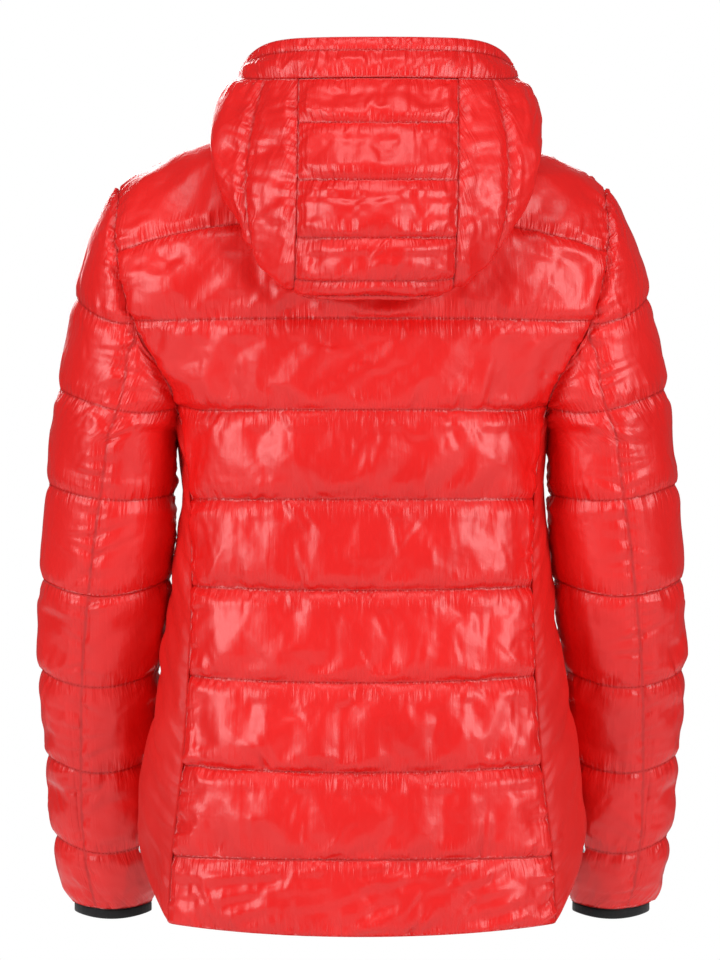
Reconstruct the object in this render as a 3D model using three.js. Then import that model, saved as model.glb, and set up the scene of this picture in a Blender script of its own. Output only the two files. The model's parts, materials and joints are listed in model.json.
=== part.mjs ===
// A hooded, quilted ski jacket as an assembly of sewn panels, fill, lining and zip fasteners.
// Millimetres, +Z up, +X to the wearer's left, -Y to the wearer's front.
// All heights below are measured from the lowest point of the back hem; the finished group is then moved so
// that the origin is where the hanger loop bears on a hook.
import * as THREE from "three";

// ---------- driving dimensions ----------
const HEM_FRONT = 62;
const ARMPIT = 440;
const CHEST = 531; // from here up the body curves over to the shoulder line
const SHOULDER_TIP = 653;
const ELBOW = 305;
const CUFF = 13;
const NECK = { half: 88, side: 697, back: 672, front: 622, yBack: 76, yFront: -106.6 };
const ARMHOLE = { z: (SHOULDER_TIP + ARMPIT) / 2, high: (SHOULDER_TIP - ARMPIT) / 2, deep: 74 };
const SEAM_GAP = 0.5; // half of the room between two neighbouring panels
const ZIP = { gapHalf: 10, low: 62, high: 705, yLow: -124, yHigh: -104, inset: 5 };
const LOOP = { y: 57, z: 698, half: 24, band: 2, tall: 18, wide: 6 };

// Layers of a panel, as depths in mm below its outer surface.
const SHELL = [0, 1.4];
const BODY = { fill: [1.9, 12.2], bag: [12.7, 13.9], lining: [14.6, 16] };
const ARM = { fill: [1.9, 10.4], lining: [11, 12.4] };
const HOOD = { fill: [1.9, 5.6], lining: [6.8, 7.9] };

const RED = 0xe0252b;
const BLACK = 0x17171a;
const materials = {
  shell: new THREE.MeshStandardMaterial({ color: RED, roughness: 0.3, metalness: 0 }),
  stretch: new THREE.MeshStandardMaterial({ color: 0xd8242a, roughness: 0.6, metalness: 0 }),
  fill: new THREE.MeshStandardMaterial({ color: 0xf2f0ea, roughness: 0.95, metalness: 0 }),
  lining: new THREE.MeshStandardMaterial({ color: 0x1d1d21, roughness: 0.6, metalness: 0 }),
  elastic: new THREE.MeshStandardMaterial({ color: BLACK, roughness: 0.85, metalness: 0 }),
  zipTape: new THREE.MeshStandardMaterial({ color: BLACK, roughness: 0.8, metalness: 0 }),
  zipTeeth: new THREE.MeshStandardMaterial({ color: 0x222226, roughness: 0.4, metalness: 0 }),
  zipMetal: new THREE.MeshStandardMaterial({ color: 0xb9bcc0, roughness: 0.3, metalness: 1 }),
};

// ---------- small helpers ----------
const lerp = THREE.MathUtils.lerp;
const clamp = THREE.MathUtils.clamp;
const rad = THREE.MathUtils.degToRad;
const steps = (from, to, count) => Array.from({ length: count + 1 }, (_, i) => lerp(from, to, i / count));

// A smooth curve through a few [position, value] pairs, held level past its ends.
function through(pairs) {
  const slope = pairs.map((p, i) => {
    const a = pairs[Math.max(i - 1, 0)];
    const b = pairs[Math.min(i + 1, pairs.length - 1)];
    return (b[1] - a[1]) / (b[0] - a[0]);
  });
  return (at) => {
    const t = clamp(at, pairs[0][0], pairs[pairs.length - 1][0]);
    let i = 0;
    while (i < pairs.length - 2 && t > pairs[i + 1][0]) i++;
    const [x0, y0] = pairs[i];
    const [x1, y1] = pairs[i + 1];
    const h = x1 - x0;
    const u = (t - x0) / h;
    const v = 1 - u;
    return v * v * (1 + 2 * u) * y0 + u * u * (3 - 2 * u) * y1 + h * u * v * (v * slope[i] - u * slope[i + 1]);
  };
}

// One closed solid between two depths below a surface: a grid over us x vs, its offset, and the four edge walls.
function sheet(name, material, surface, inward, us, vs, [near, far]) {
  const position = [];
  for (const depth of [near, far]) {
    for (const v of vs) {
      for (const u of us) {
        const p = surface(u, v).addScaledVector(inward(u, v), depth);
        position.push(p.x, p.y, p.z);
      }
    }
  }
  const columns = us.length;
  const layer = columns * vs.length;
  const index = [];
  const quad = (a, b, c, d) => index.push(a, b, c, a, c, d);
  for (let j = 0; j < vs.length - 1; j++) {
    for (let i = 0; i < columns - 1; i++) {
      const a = j * columns + i;
      quad(a, a + 1, a + columns + 1, a + columns);
      quad(layer + a, layer + a + columns, layer + a + columns + 1, layer + a + 1);
    }
  }
  const wall = (a, b) => quad(b, a, layer + a, layer + b);
  for (let i = 0; i < columns - 1; i++) {
    wall(i, i + 1);
    wall(layer - 1 - i, layer - 2 - i);
  }
  for (let j = 0; j < vs.length - 1; j++) {
    wall((j + 1) * columns, j * columns);
    wall((j + 1) * columns - 1, (j + 2) * columns - 1);
  }
  const geometry = new THREE.BufferGeometry();
  geometry.setAttribute("position", new THREE.Float32BufferAttribute(position, 3));
  geometry.setIndex(signedVolume(position, index) < 0 ? index.reverse() : index);
  geometry.computeVertexNormals();
  return named(name, geometry, material);
}

function signedVolume(position, index) {
  const corner = (k) => new THREE.Vector3().fromArray(position, 3 * index[k]);
  let sum = 0;
  for (let k = 0; k < index.length; k += 3) sum += corner(k).dot(corner(k + 1).cross(corner(k + 2)));
  return sum;
}

function named(name, geometry, material) {
  const mesh = new THREE.Mesh(geometry, material);
  mesh.name = name;
  return mesh;
}

function block(name, material, [x0, x1], [y0, y1], [z0, z1]) {
  const mesh = named(name, new THREE.BoxGeometry(x1 - x0, y1 - y0, z1 - z0), material);
  mesh.position.set((x0 + x1) / 2, (y0 + y1) / 2, (z0 + z1) / 2);
  return mesh;
}

// A flat outline in the XZ plane, given a thickness along +Y from y0 to y1.
function plate(name, material, outline, [y0, y1], holes = []) {
  const shape = new THREE.Shape(outline.map(([x, z]) => new THREE.Vector2(x, z)));
  shape.holes = holes.map((hole) => new THREE.Path(hole.map(([x, z]) => new THREE.Vector2(x, z))));
  const geometry = new THREE.ExtrudeGeometry(shape, { depth: y1 - y0, bevelEnabled: false });
  geometry.rotateX(Math.PI / 2);
  const mesh = named(name, geometry, material);
  mesh.position.y = y1;
  return mesh;
}

// ---------- the body: back, side and front surfaces ----------
const sideHalf = through([[10, 192], [71, 196], [150, 189], [228, 176], [300, 163], [376, 158], [453, 159]]);
const armholeX = through([[ARMPIT, 160], [470, 167], [CHEST, 199], [597, 214], [SHOULDER_TIP, 212]]);
const backEdge = {
  x: through([[0, 169], [66, 166], [141, 157], [218, 152], [300, 150], [376, 152], [453, 161]]),
  y: through([[0, 74], [66, 74], [150, 72], [228, 67], [300, 57], [376, 47], [453, 35]]),
  z: through([[0, 9], [66, 67], [141, 146], [218, 223], [297, 300], [376, 376], [453, 453], [CHEST, 529]]),
};
const frontEdge = {
  x: through([[62, 172], [150, 165], [228, 157], [300, 151], [376, 151], [453, 161]]),
  y: through([[62, -70], [150, -68], [228, -64], [300, -57], [376, -48], [453, -35]]),
  z: through([[62, 71], [150, 154], [228, 230], [300, 301], [376, 376], [453, 453], [CHEST, 529]]),
};
const backCentre = through([[0, 112], [66, 114], [150, 112], [228, 107], [300, 103], [376, 104], [453, 109], [CHEST, 112]]);
const zipY = (z) => lerp(ZIP.yLow, ZIP.yHigh, (z - ZIP.low) / (ZIP.high - ZIP.low));
const ridge = through([[NECK.half, NECK.side], [125, 692], [158, 681], [189, 667], [212, SHOULDER_TIP]]);
const TOP = 700; // row value of the shoulder and neck line
const armholeY = (z) => ARMHOLE.deep * Math.sqrt(Math.max(0, 1 - ((z - ARMHOLE.z) / ARMHOLE.high) ** 2));

// A point on the back (side = 1) or front (side = -1). s runs from -1 to 1 across, and row is a height up to
// CHEST, then the share of the way over to the shoulder line.
function bodyPoint(side, s, row) {
  const edge = side > 0 ? backEdge : frontEdge;
  const low = Math.min(row, CHEST);
  const turn = (Math.max(0, row - CHEST) / (TOP - CHEST)) * (Math.PI / 2);
  const edgeLow = edge.z(low);
  const edgeZ = lerp(edgeLow, SHOULDER_TIP, Math.sin(turn));
  const x = s * (row < 453 ? edge.x(row) : armholeX(edgeZ));
  const z0 = lerp(low, edgeLow, s * s);
  const edgeY = row < 453 ? edge.y(row) : (side * armholeY(edgeZ)) / Math.max(Math.cos(turn), 1e-3);
  const middle = side > 0 ? backCentre(low) : zipY(low);
  const crown = (1 - Math.abs(s) ** 2.2) ** 0.6;
  const y0 = edgeY + (middle - edgeY) * crown;
  const open = Math.sqrt(Math.max(0, 1 - (x / NECK.half) ** 2));
  const zTop = Math.abs(x) < NECK.half ? lerp(NECK.side, side > 0 ? NECK.back : NECK.front, open) : ridge(Math.abs(x));
  const yTop = (side > 0 ? NECK.yBack : NECK.yFront) * open;
  return new THREE.Vector3(x, lerp(yTop, y0, Math.cos(turn)), lerp(z0, zTop, Math.sin(turn)));
}

// A point on the left side panel (side = 1) or the right one. q runs from the back seam to the front seam.
const sideHem = through([[0, 9], [0.25, 46], [0.5, 73], [1, 71]]);
const SIDE_TOP = 453;
function sidePoint(side, q, f) {
  const back = [backEdge.z(0), SIDE_TOP];
  const front = [frontEdge.z(62), SIDE_TOP];
  const z = lerp(sideHem(q), SIDE_TOP - 12 * Math.sin(Math.PI * q), f);
  const zb = lerp(back[0], back[1], f);
  const zf = lerp(front[0], front[1], f);
  const xb = backEdge.x(heightAt(backEdge, zb));
  const xf = frontEdge.x(heightAt(frontEdge, zf));
  const yb = backEdge.y(heightAt(backEdge, zb));
  const yf = frontEdge.y(heightAt(frontEdge, zf));
  const flat = lerp(xb, xf, q);
  const bulge = 1 - (2 * q - 1) ** 2;
  return new THREE.Vector3(side * (flat + Math.max(0, sideHalf(z) - flat) * bulge), lerp(yb, yf, q), z);
}

// The row whose edge is at this height.
function heightAt(edge, z) {
  let lo = 0;
  let hi = CHEST;
  for (let i = 0; i < 24; i++) {
    const mid = (lo + hi) / 2;
    if (edge.z(mid) < z) lo = mid;
    else hi = mid;
  }
  return (lo + hi) / 2;
}

// Towards the inside of the body: away from a core that lies between the arms.
function bodyInward(p) {
  const core = new THREE.Vector3(clamp(p.x, -95, 95) * 0.9, 0, Math.min(p.z, 560));
  return core.sub(p).normalize();
}
const inwardOf = (surface) => (u, v) => bodyInward(surface(u, v));

// ---------- the sleeves ----------
const sleeveOuter = through([[5, 258], [13, 262], [34, 271], [76, 277], [146, 283], [216, 287], [322, 284], [406, 277],
  [455, 271], [497, 265], [540, 256], [583, 247], [625, 231], [SHOULDER_TIP, 213]]);
const sleeveInner = through([[5, 190], [13, 187], [34, 181], [76, 180], [146, 180], [216, 178], [322, 165], [ARMPIT, 162]]);
const sleeveDeep = through([[5, 32], [13, 35], [34, 44], [76, 48], [146, 51], [216, 55], [322, 62], [ARMPIT, 67], [500, 71.5],
  [ARMHOLE.z, ARMHOLE.deep]]);
const sleeveY = through([[5, -108], [76, -91], [146, -70], [216, -46], [322, -16], [400, -4], [ARMPIT, 0], [500, 0]]);
const backSeam = through([[5, 68], [87, 65], [194, 73], [320, 78], [418, 86], [545, 92]]);

// A point on the left sleeve (side = 1) or the right one; angle 0 is its outer side and 90 its back, in degrees.
function sleeveRing(z) {
  const outer = sleeveOuter(z);
  if (z <= ARMPIT) {
    const inner = sleeveInner(z);
    return { reach: 180, x: (outer + inner) / 2, wide: (outer - inner) / 2, deep: sleeveDeep(z), y: sleeveY(z) };
  }
  const edge = armholeX(z) + 2;
  const half = armholeY(z);
  if (z >= ARMHOLE.z) return { reach: 90, x: edge, wide: outer - edge, deep: half, y: 0 };
  const deep = Math.max(sleeveDeep(z), half * 1.0001);
  const reach = Math.PI - Math.asin(half / deep);
  const x = (edge - outer * Math.cos(reach)) / (1 - Math.cos(reach));
  return { reach: THREE.MathUtils.radToDeg(reach), x, wide: outer - x, deep, y: 0 };
}
const sleevePoint = (side) => (angle, z) => {
  const ring = sleeveRing(z);
  const a = rad(angle);
  const sag = 5 * Math.sin(a) ** 2;
  return new THREE.Vector3(side * (ring.x + ring.wide * Math.cos(a)), ring.y + ring.deep * Math.sin(a), z - sag);
};
const sleeveInward = (side) => (angle, z) => {
  const ring = sleeveRing(z);
  const p = sleevePoint(side)(angle, z);
  const centre = new THREE.Vector3(side * Math.max(ring.x, 195), ring.y, z > ARMHOLE.z ? ARMHOLE.z : z);
  return centre.sub(p).normalize();
};

// One sheet of a sleeve. Its columns are numbered from the seam at the armpit, round the front and outer side, to
// the seam down the back (BACK_SEAM) and on to the armpit again (ALL_ROUND).
const BACK_SEAM = 9;
const ALL_ROUND = 12;
function sleeveSheet(name, material, side, from, to, zs, layer) {
  const column = (u, z) => {
    const { reach } = sleeveRing(z);
    const seam = z > CHEST ? reach : backSeam(z);
    return u <= BACK_SEAM ? lerp(-reach, seam, u / BACK_SEAM) : lerp(seam, reach, (u - BACK_SEAM) / (ALL_ROUND - BACK_SEAM));
  };
  const room = THREE.MathUtils.radToDeg(SEAM_GAP / 55);
  const angle = (u, z) => column(u, z) + (u === from ? room : 0) - (u === to ? room : 0);
  const at = (u, z) => sleevePoint(side)(angle(u, z), z);
  const inward = (u, z) => sleeveInward(side)(angle(u, z), z);
  return sheet(name, material, at, inward, steps(from, to, to - from), zs, layer);
}

function sleeve(side) {
  const hand = side > 0 ? "left" : "right";
  const upper = [ELBOW + 0.8, 372, ARMPIT, 485, 528, ARMHOLE.z, 590, 625, 646];
  const upperBack = upper.slice(0, 5);
  const lower = [CUFF + 0.8, 50, 130, 218, ELBOW - 0.8];
  const group = new THREE.Group();
  const m = materials;
  const add = (name, material, from, to, zs, layer) =>
    group.add(sleeveSheet(`${hand}_${name}`, material, side, from, to, zs, layer));
  add("upper_sleeve_panel", m.shell, 0, BACK_SEAM, upper, SHELL);
  add("upper_sleeve_back_panel", m.shell, BACK_SEAM, ALL_ROUND, upperBack, SHELL);
  add("upper_sleeve_fill", m.fill, 0, ALL_ROUND, upper, ARM.fill);
  add("upper_sleeve_lining", m.lining, 0, ALL_ROUND, upper, ARM.lining);
  add("forearm_panel", m.shell, 0, BACK_SEAM, lower, SHELL);
  add("forearm_back_panel", m.shell, BACK_SEAM, ALL_ROUND, lower, SHELL);
  add("forearm_fill", m.fill, 0, ALL_ROUND, lower, ARM.fill);
  add("forearm_lining", m.lining, 0, ALL_ROUND, lower, ARM.lining);
  add("cuff_binding", m.elastic, 0, ALL_ROUND, [4.5, CUFF - 0.4], [1, 6]);
  return group;
}

// ---------- the hood ----------
// Profiles from the brim edge (0) to the neck seam (1): behind the head, and at the side of the neck.
const hoodBack = {
  y: through([[0, 96], [0.15, 113], [0.3, 141], [0.45, 166], [0.6, 180], [0.7, 177], [0.8, 158], [0.88, 136], [1, 98]]),
  z: through([[0, 776], [0.15, 740], [0.3, 700], [0.45, 649], [0.6, 598], [0.7, 562], [0.8, 545], [0.88, 566], [1, 657]]),
  x: through([[0, 122], [0.15, 124], [0.3, 126], [0.45, 125], [0.6, 119], [0.7, 108], [0.8, 94], [0.88, 88], [1, 92]]),
};
const hoodSide = {
  z: through([[0, 758], [0.3, 737], [0.6, 716], [0.85, 706], [1, 705]]),
  x: through([[0, 122], [0.15, 126], [0.45, 136], [0.6, 138], [0.8, 132], [0.92, 118], [1, 106]]),
};
const HOOD_REACH = 108; // degrees from the back, each way
const HOOD_SEAM_X = 70;
const BRIM = 0.15; // share of the profile that is the elastic brim
const HOOD_CLEAR = 3.5; // room between the lowered hood and the back
const HOOD_LEAN = -14; // the lowered hood lies a little towards the wearer's right
const HOOD_LOBE = 26; // how far its sides bag out over the shoulders
const hoodShift = (v) => HOOD_LEAN * (1 - v ** 4);
function hoodPoint(angle, v) {
  const a = rad(angle);
  const sine = Math.abs(Math.sin(a));
  const cosine = Math.cos(a);
  const aside = Math.abs(angle) > 90 ? 1 : sine ** 7;
  const lobe = HOOD_LOBE * Math.sin(Math.PI * aside ** 0.6) * Math.sin(Math.PI * v) ** 2;
  const half = lerp(hoodBack.x(v), hoodSide.x(v), aside) * sine ** 0.9 + lobe;
  const x = Math.sign(angle) * half + hoodShift(v);
  const y = cosine > 0 ? hoodBack.y(v) * cosine ** 0.9 : 115 * cosine;
  const z = lerp(hoodBack.z(v), hoodSide.z(v), aside) - 30 * Math.max(0, -cosine) * (1 - v);
  return new THREE.Vector3(x, v > 0.5 ? clearOf(y, backY(x, z) + HOOD_CLEAR) : y, z);
}
// The larger of two values, with the change from one to the other eased.
function clearOf(value, limit) {
  return limit === -Infinity ? value : (value + limit + Math.hypot(value - limit, 14)) / 2;
}
// How far back the body's surface lies at this place, or nothing above the shoulder line.
function backY(x, z) {
  const at = (row) => bodyPoint(1, x / (row < 453 ? backEdge.x(row) : armholeX(backEdge.z(Math.min(row, CHEST)))), row);
  if (z > at(TOP).z) return -Infinity;
  let lo = 400;
  let hi = TOP;
  for (let i = 0; i < 20; i++) {
    const mid = (lo + hi) / 2;
    if (at(mid).z < z) lo = mid;
    else hi = mid;
  }
  return at(lo).y;
}
function hoodInward(angle, v) {
  const da = 6;
  const dv = 0.04;
  const along = hoodPoint(angle + da, v).sub(hoodPoint(angle - da, v));
  const down = hoodPoint(angle, Math.min(1, v + dv)).sub(hoodPoint(angle, Math.max(0, v - dv)));
  return down.cross(along).normalize();
}
// The angle at which the seam beside the centre panel runs.
function hoodSeam(v) {
  let lo = 0;
  let hi = 90;
  for (let i = 0; i < 20; i++) {
    const mid = (lo + hi) / 2;
    if (hoodPoint(mid, v).x - hoodShift(v) < HOOD_SEAM_X) lo = mid;
    else hi = mid;
  }
  return lo;
}
// Columns run from the right end (0) by way of both seams of the centre panel to the left end.
const HOOD_COLUMNS = { rightSeam: 6, leftSeam: 10, end: 16 };
function hoodSheet(name, material, from, to, vs, layer) {
  const column = (u, v) => {
    const seam = hoodSeam(v);
    const { rightSeam, leftSeam, end } = HOOD_COLUMNS;
    if (u <= rightSeam) return lerp(-HOOD_REACH, -seam, u / rightSeam);
    if (u <= leftSeam) return lerp(-seam, seam, (u - rightSeam) / (leftSeam - rightSeam));
    return lerp(seam, HOOD_REACH, (u - leftSeam) / (end - leftSeam));
  };
  const room = 0.25;
  const angle = (u, v) => column(u, v) + (u === from ? room : 0) - (u === to ? room : 0);
  const at = (u, v) => hoodPoint(angle(u, v), v);
  const inward = (u, v) => hoodInward(angle(u, v), v);
  return sheet(name, material, at, inward, steps(from, to, to - from), vs, layer);
}
function hood() {
  const { rightSeam, leftSeam, end } = HOOD_COLUMNS;
  const rows = [BRIM + 0.014, 0.27, 0.38, 0.48, 0.57, 0.65, 0.72, 0.78, 0.83, 0.88, 0.94, 1];
  const m = materials;
  const group = new THREE.Group();
  group.add(
    hoodSheet("hood_brim", m.shell, 0, end, [0, 0.075, BRIM], [0, 9]),
    hoodSheet("hood_centre_panel", m.shell, rightSeam, leftSeam, rows, SHELL),
    hoodSheet("hood_left_panel", m.shell, leftSeam, end, rows, SHELL),
    hoodSheet("hood_right_panel", m.shell, 0, rightSeam, rows, SHELL),
    hoodSheet("hood_fill", m.fill, 0, end, rows.slice(0, 8), HOOD.fill),
    hoodSheet("hood_lining", m.lining, 0, end, rows, HOOD.lining),
  );
  return group;
}

// ---------- the collar ----------
const COLLAR = { rise: 72, lean: 4, fill: 9 };
const NECK_COLUMNS = [0, 0.34, 0.66, 0.87, 1]; // where the panels' columns meet the neck, as shares of its half width

function collarPoint(angle, f) {
  const a = rad(angle);
  const c = Math.cos(a);
  const half = NECK.half - COLLAR.lean * f;
  const depth = c > 0 ? NECK.yBack - COLLAR.lean * f : -NECK.yFront;
  const foot = lerp(NECK.side, c > 0 ? NECK.back : NECK.front, Math.abs(c));
  const z = foot + 1 + f * (COLLAR.rise + (c < 0 ? 10 * -c : 0));
  const y = c > 0 ? depth * c : depth * c + (zipY(z) - NECK.yFront) * -c;
  return new THREE.Vector3(half * Math.sin(a), y, z);
}
function collarInward(angle) {
  const a = rad(angle);
  return new THREE.Vector3(-Math.sin(a), -Math.cos(a), 0);
}
function collar() {
  const end = 180 - THREE.MathUtils.radToDeg(Math.asin((ZIP.gapHalf + 1) / NECK.half));
  const quarter = NECK_COLUMNS.map((share) => THREE.MathUtils.radToDeg(Math.asin(share)));
  const half = [...quarter, ...quarter.slice(1, -1).reverse().map((a) => 180 - a), end];
  const angles = [...half.slice(1).reverse().map((a) => -a), ...half];
  const group = new THREE.Group();
  group.add(
    sheet("collar_shell", materials.shell, collarPoint, collarInward, angles, [0, 0.5, 1], [0, COLLAR.fill]),
    sheet("collar_lining", materials.lining, collarPoint, collarInward, angles, [0, 0.5, 1], [COLLAR.fill + 0.5, COLLAR.fill + 1.9]),
  );
  return group;
}

// ---------- the body's panels ----------
function bodyShell() {
  const group = new THREE.Group();
  const m = materials;
  const backSurface = (u, row) => {
    const s = u * (1 - SEAM_GAP / 150);
    return bodyPoint(1, s, row);
  };
  const neck = NECK_COLUMNS.map((share) => (share * NECK.half) / 212);
  const outer = [0.6, 0.78, 0.92, 1];
  const half = [...neck, ...outer];
  const across = [...half.slice(1).reverse().map((s) => -s), ...half];
  const low = [66.6, 150, 228, 300, 376, 453, CHEST];
  const high = [570, 612, 656, TOP - 0.6];
  const rows = [...low, ...high];
  const hem = [0, 65.6];
  group.add(
    sheet("back_panel", m.shell, backSurface, inwardOf(backSurface), across, rows, SHELL),
    sheet("back_fill", m.fill, backSurface, inwardOf(backSurface), across, rows, BODY.fill),
    sheet("back_lining", m.lining, backSurface, inwardOf(backSurface), across, [30, ...rows], BODY.lining),
    sheet("back_hem_band", m.shell, backSurface, inwardOf(backSurface), across, hem, [0, 5]),
  );
  for (const side of [1, -1]) {
    const hand = side > 0 ? "left" : "right";
    const frontSurface = (s, row) => {
      const start = (ZIP.gapHalf + 0.4) / (row < 453 ? frontEdge.x(row) : armholeX(frontEdge.z(Math.min(row, CHEST))));
      return bodyPoint(-1, side * Math.max(start, s * (1 - SEAM_GAP / 150)), row);
    };
    const columns = half;
    const frontLow = [HEM_FRONT, 150, 228, 300, 376, 453, CHEST];
    const frontRows = [...frontLow, ...high];
    const inward = inwardOf(frontSurface);
    group.add(
      sheet(`${hand}_front_panel`, m.shell, frontSurface, inward, columns, frontRows, SHELL),
      sheet(`${hand}_front_fill`, m.fill, frontSurface, inward, columns, frontRows, BODY.fill),
      sheet(`${hand}_front_lining`, m.lining, frontSurface, inward, columns, frontRows, BODY.lining),
      sheet(`${hand}_pocket_bag`, m.lining, frontSurface, inward, [0.6, 0.78, 0.92, 1], [150, 228, 300], BODY.bag),
    );
    const sideSurface = (q, f) => sidePoint(side, lerp(0.008, 0.992, q), f * 0.997);
    const around = [0, 0.2, 0.4, 0.6, 0.8, 1];
    const sideRows = [0, 0.15, 0.3, 0.45, 0.6, 0.75, 0.88, 1];
    group.add(sheet(`${hand}_side_panel`, m.stretch, sideSurface, inwardOf(sideSurface), around, sideRows, [0, 3]));
  }
  return group;
}

// ---------- zip fasteners ----------
// A slider of I section: two plates joined by a thin web that runs between the two rows of teeth.
function slider(name, at, size) {
  const { wide, long, web, plateNear, plateFar, lug } = size;
  const outline = [
    [-wide, plateNear[0]], [-lug, plateNear[0]], [-lug, plateNear[0] - size.lugOut], [lug, plateNear[0] - size.lugOut],
    [lug, plateNear[0]], [wide, plateNear[0]], [wide, plateNear[1]], [web, plateNear[1]],
    [web, plateFar[0]], [wide, plateFar[0]], [wide, plateFar[1]], [-wide, plateFar[1]],
    [-wide, plateFar[0]], [-web, plateFar[0]], [-web, plateNear[1]], [-wide, plateNear[1]],
  ];
  const shape = new THREE.Shape(outline.map(([x, y]) => new THREE.Vector2(x, y)));
  const geometry = new THREE.ExtrudeGeometry(shape, { depth: long, bevelEnabled: false });
  const mesh = named(name, geometry, materials.zipMetal);
  mesh.position.set(0, 0, at - long / 2);
  return mesh;
}

// A hanging puller: a fork either side of the slider's lug, then a flat tab. It swings about a pin 1 mm below the
// slider's middle, and its ears end just above the pin, so that they turn clear of the slider's plate.
function puller(name, at, size) {
  const { lug, tabHalf, tabLong, gap, y, slot } = size;
  const ear = lug + gap;
  const top = at + 0.1;
  const outline = [
    [-ear - 1.6, top], [-ear, top], [-ear, at - slot], [ear, at - slot], [ear, top], [ear + 1.6, top],
    [ear + 1.6, at - slot - 2], [tabHalf, at - slot - 5], [tabHalf, at - tabLong + 2], [tabHalf - 2, at - tabLong],
    [-tabHalf + 2, at - tabLong], [-tabHalf, at - tabLong + 2], [-tabHalf, at - slot - 5], [-ear - 1.6, at - slot - 2],
  ];
  return plate(name, materials.zipMetal, outline, [y - 0.7, y + 0.7]);
}

const MAIN_SLIDER = { wide: 4.6, long: 11, web: 0.3, plateNear: [2.2, 3.4], plateFar: [6.6, 7.8], lug: 1, lugOut: 1.9 };
const MAIN_PULLER = { lug: 1, tabHalf: 4, tabLong: 36, gap: 0.5, y: 0.6, slot: 8.2 };
const CLOSED_AT = 621; // the slider's height along the zip when the jacket is closed

function mainZip() {
  const group = new THREE.Group();
  const m = materials;
  const chain = [ZIP.inset - 1.25, ZIP.inset + 1.25];
  const tape = [ZIP.inset - 0.4, ZIP.inset + 0.4];
  group.add(slider("zip_slider", CLOSED_AT, MAIN_SLIDER), puller("zip_puller", CLOSED_AT, MAIN_PULLER));
  for (const side of [1, -1]) {
    const hand = side > 0 ? "left" : "right";
    const span = (a, b) => (side > 0 ? [a, b] : [-b, -a]);
    group.add(
      block(`zip_teeth_${hand}`, m.zipTeeth, span(0.6, 3.5), chain, [12, 628]),
      block(`zip_tape_${hand}`, m.zipTape, span(3.9, 9.6), tape, [0, 636]),
    );
  }
  group.add(block("zip_retainer_box", m.zipMetal, [-3.5, 3.5], [ZIP.inset - 1.8, ZIP.inset + 1.8], [1, 11.5]));
  group.add(block("storm_flap", m.lining, [-20, 20], [18.5, 20.3], [2, 622]));
  group.position.set(0, ZIP.yLow, ZIP.low);
  group.rotation.x = -Math.atan2(ZIP.yHigh - ZIP.yLow, ZIP.high - ZIP.low);
  return group;
}

const POCKET = { q: 0.8, low: 0.025, high: 0.4, out: 5.2, half: 9, long: 150 };
const POCKET_SLIDER = { wide: 3.4, long: 8, web: 0.3, plateNear: [-1.2, -0.3], plateFar: [2.3, 3.1], lug: 0.9, lugOut: 2.2 };
const POCKET_PULLER = { lug: 0.9, tabHalf: 3.4, tabLong: 31, gap: 0.5, y: -2.8, slot: 6 };
const POCKET_CLOSED_AT = 9;

// The two ends of a hand pocket's zip, just clear of the side panel.
function pocketLine(side) {
  const ends = [POCKET.low, POCKET.high].map((f) => {
    const p = sidePoint(side, POCKET.q, f);
    return p.addScaledVector(bodyInward(p), -POCKET.out);
  });
  return ends;
}

function handPocket(side) {
  const hand = side > 0 ? "left" : "right";
  const [low, high] = pocketLine(side);
  const up = high.clone().sub(low).normalize();
  const inward = bodyInward(low);
  inward.addScaledVector(up, -inward.dot(up)).normalize();
  const across = new THREE.Vector3().crossVectors(inward, up);
  const group = new THREE.Group();
  const m = materials;
  const frame = [[-POCKET.half, -4], [POCKET.half, -4], [POCKET.half, POCKET.long], [-POCKET.half, POCKET.long]];
  const slot = [[-5, 2], [5, 2], [5, POCKET.long - 5], [-5, POCKET.long - 5]];
  group.add(
    plate(`${hand}_pocket_welt`, m.stretch, frame, [0, 2.2], [slot]),
    block(`${hand}_pocket_teeth`, m.zipTeeth, [0.6, 2.6], [0, 2], [3, POCKET.long - 6]),
    block(`${hand}_pocket_tape`, m.zipTape, [-2.6, -0.6], [0, 2], [3, POCKET.long - 6]),
    slider(`${hand}_pocket_slider`, POCKET_CLOSED_AT, POCKET_SLIDER),
    puller(`${hand}_pocket_puller`, POCKET_CLOSED_AT, POCKET_PULLER),
  );
  group.position.copy(low);
  group.setRotationFromMatrix(new THREE.Matrix4().makeBasis(across, inward, up));
  return group;
}

// ---------- the hanger loop ----------
function hangerLoop() {
  const { half, band, tall, wide } = LOOP;
  const low = LOOP.z - tall + band;
  const outline = [
    [-half, low], [-half + band, low], [-half + band + 3, LOOP.z], [half - band - 3, LOOP.z], [half - band, low],
    [half, low], [half - 3, LOOP.z + band], [-half + 3, LOOP.z + band],
  ];
  return plate("hanger_loop", materials.elastic, outline, [LOOP.y - wide / 2, LOOP.y + wide / 2]);
}

const jacket = new THREE.Group();
jacket.add(bodyShell(), collar(), hood(), mainZip(), hangerLoop());
for (const side of [1, -1]) jacket.add(sleeve(side), handPocket(side));
jacket.position.set(0, -LOOP.y, -LOOP.z);

const part = new THREE.Group();
part.add(jacket);
export default part;
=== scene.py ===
# A hooded, quilted ski jacket: padded panels of glossy red nylon, satin stretch sides, black bindings
# and zips. Shapes are worked out in millimetres above the lowest point of the back hem, with +X to the
# wearer's left and -Y to the wearer's front, and are moved into the frame's metres as each mesh is made.
from functools import partial
import json
import math

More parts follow.
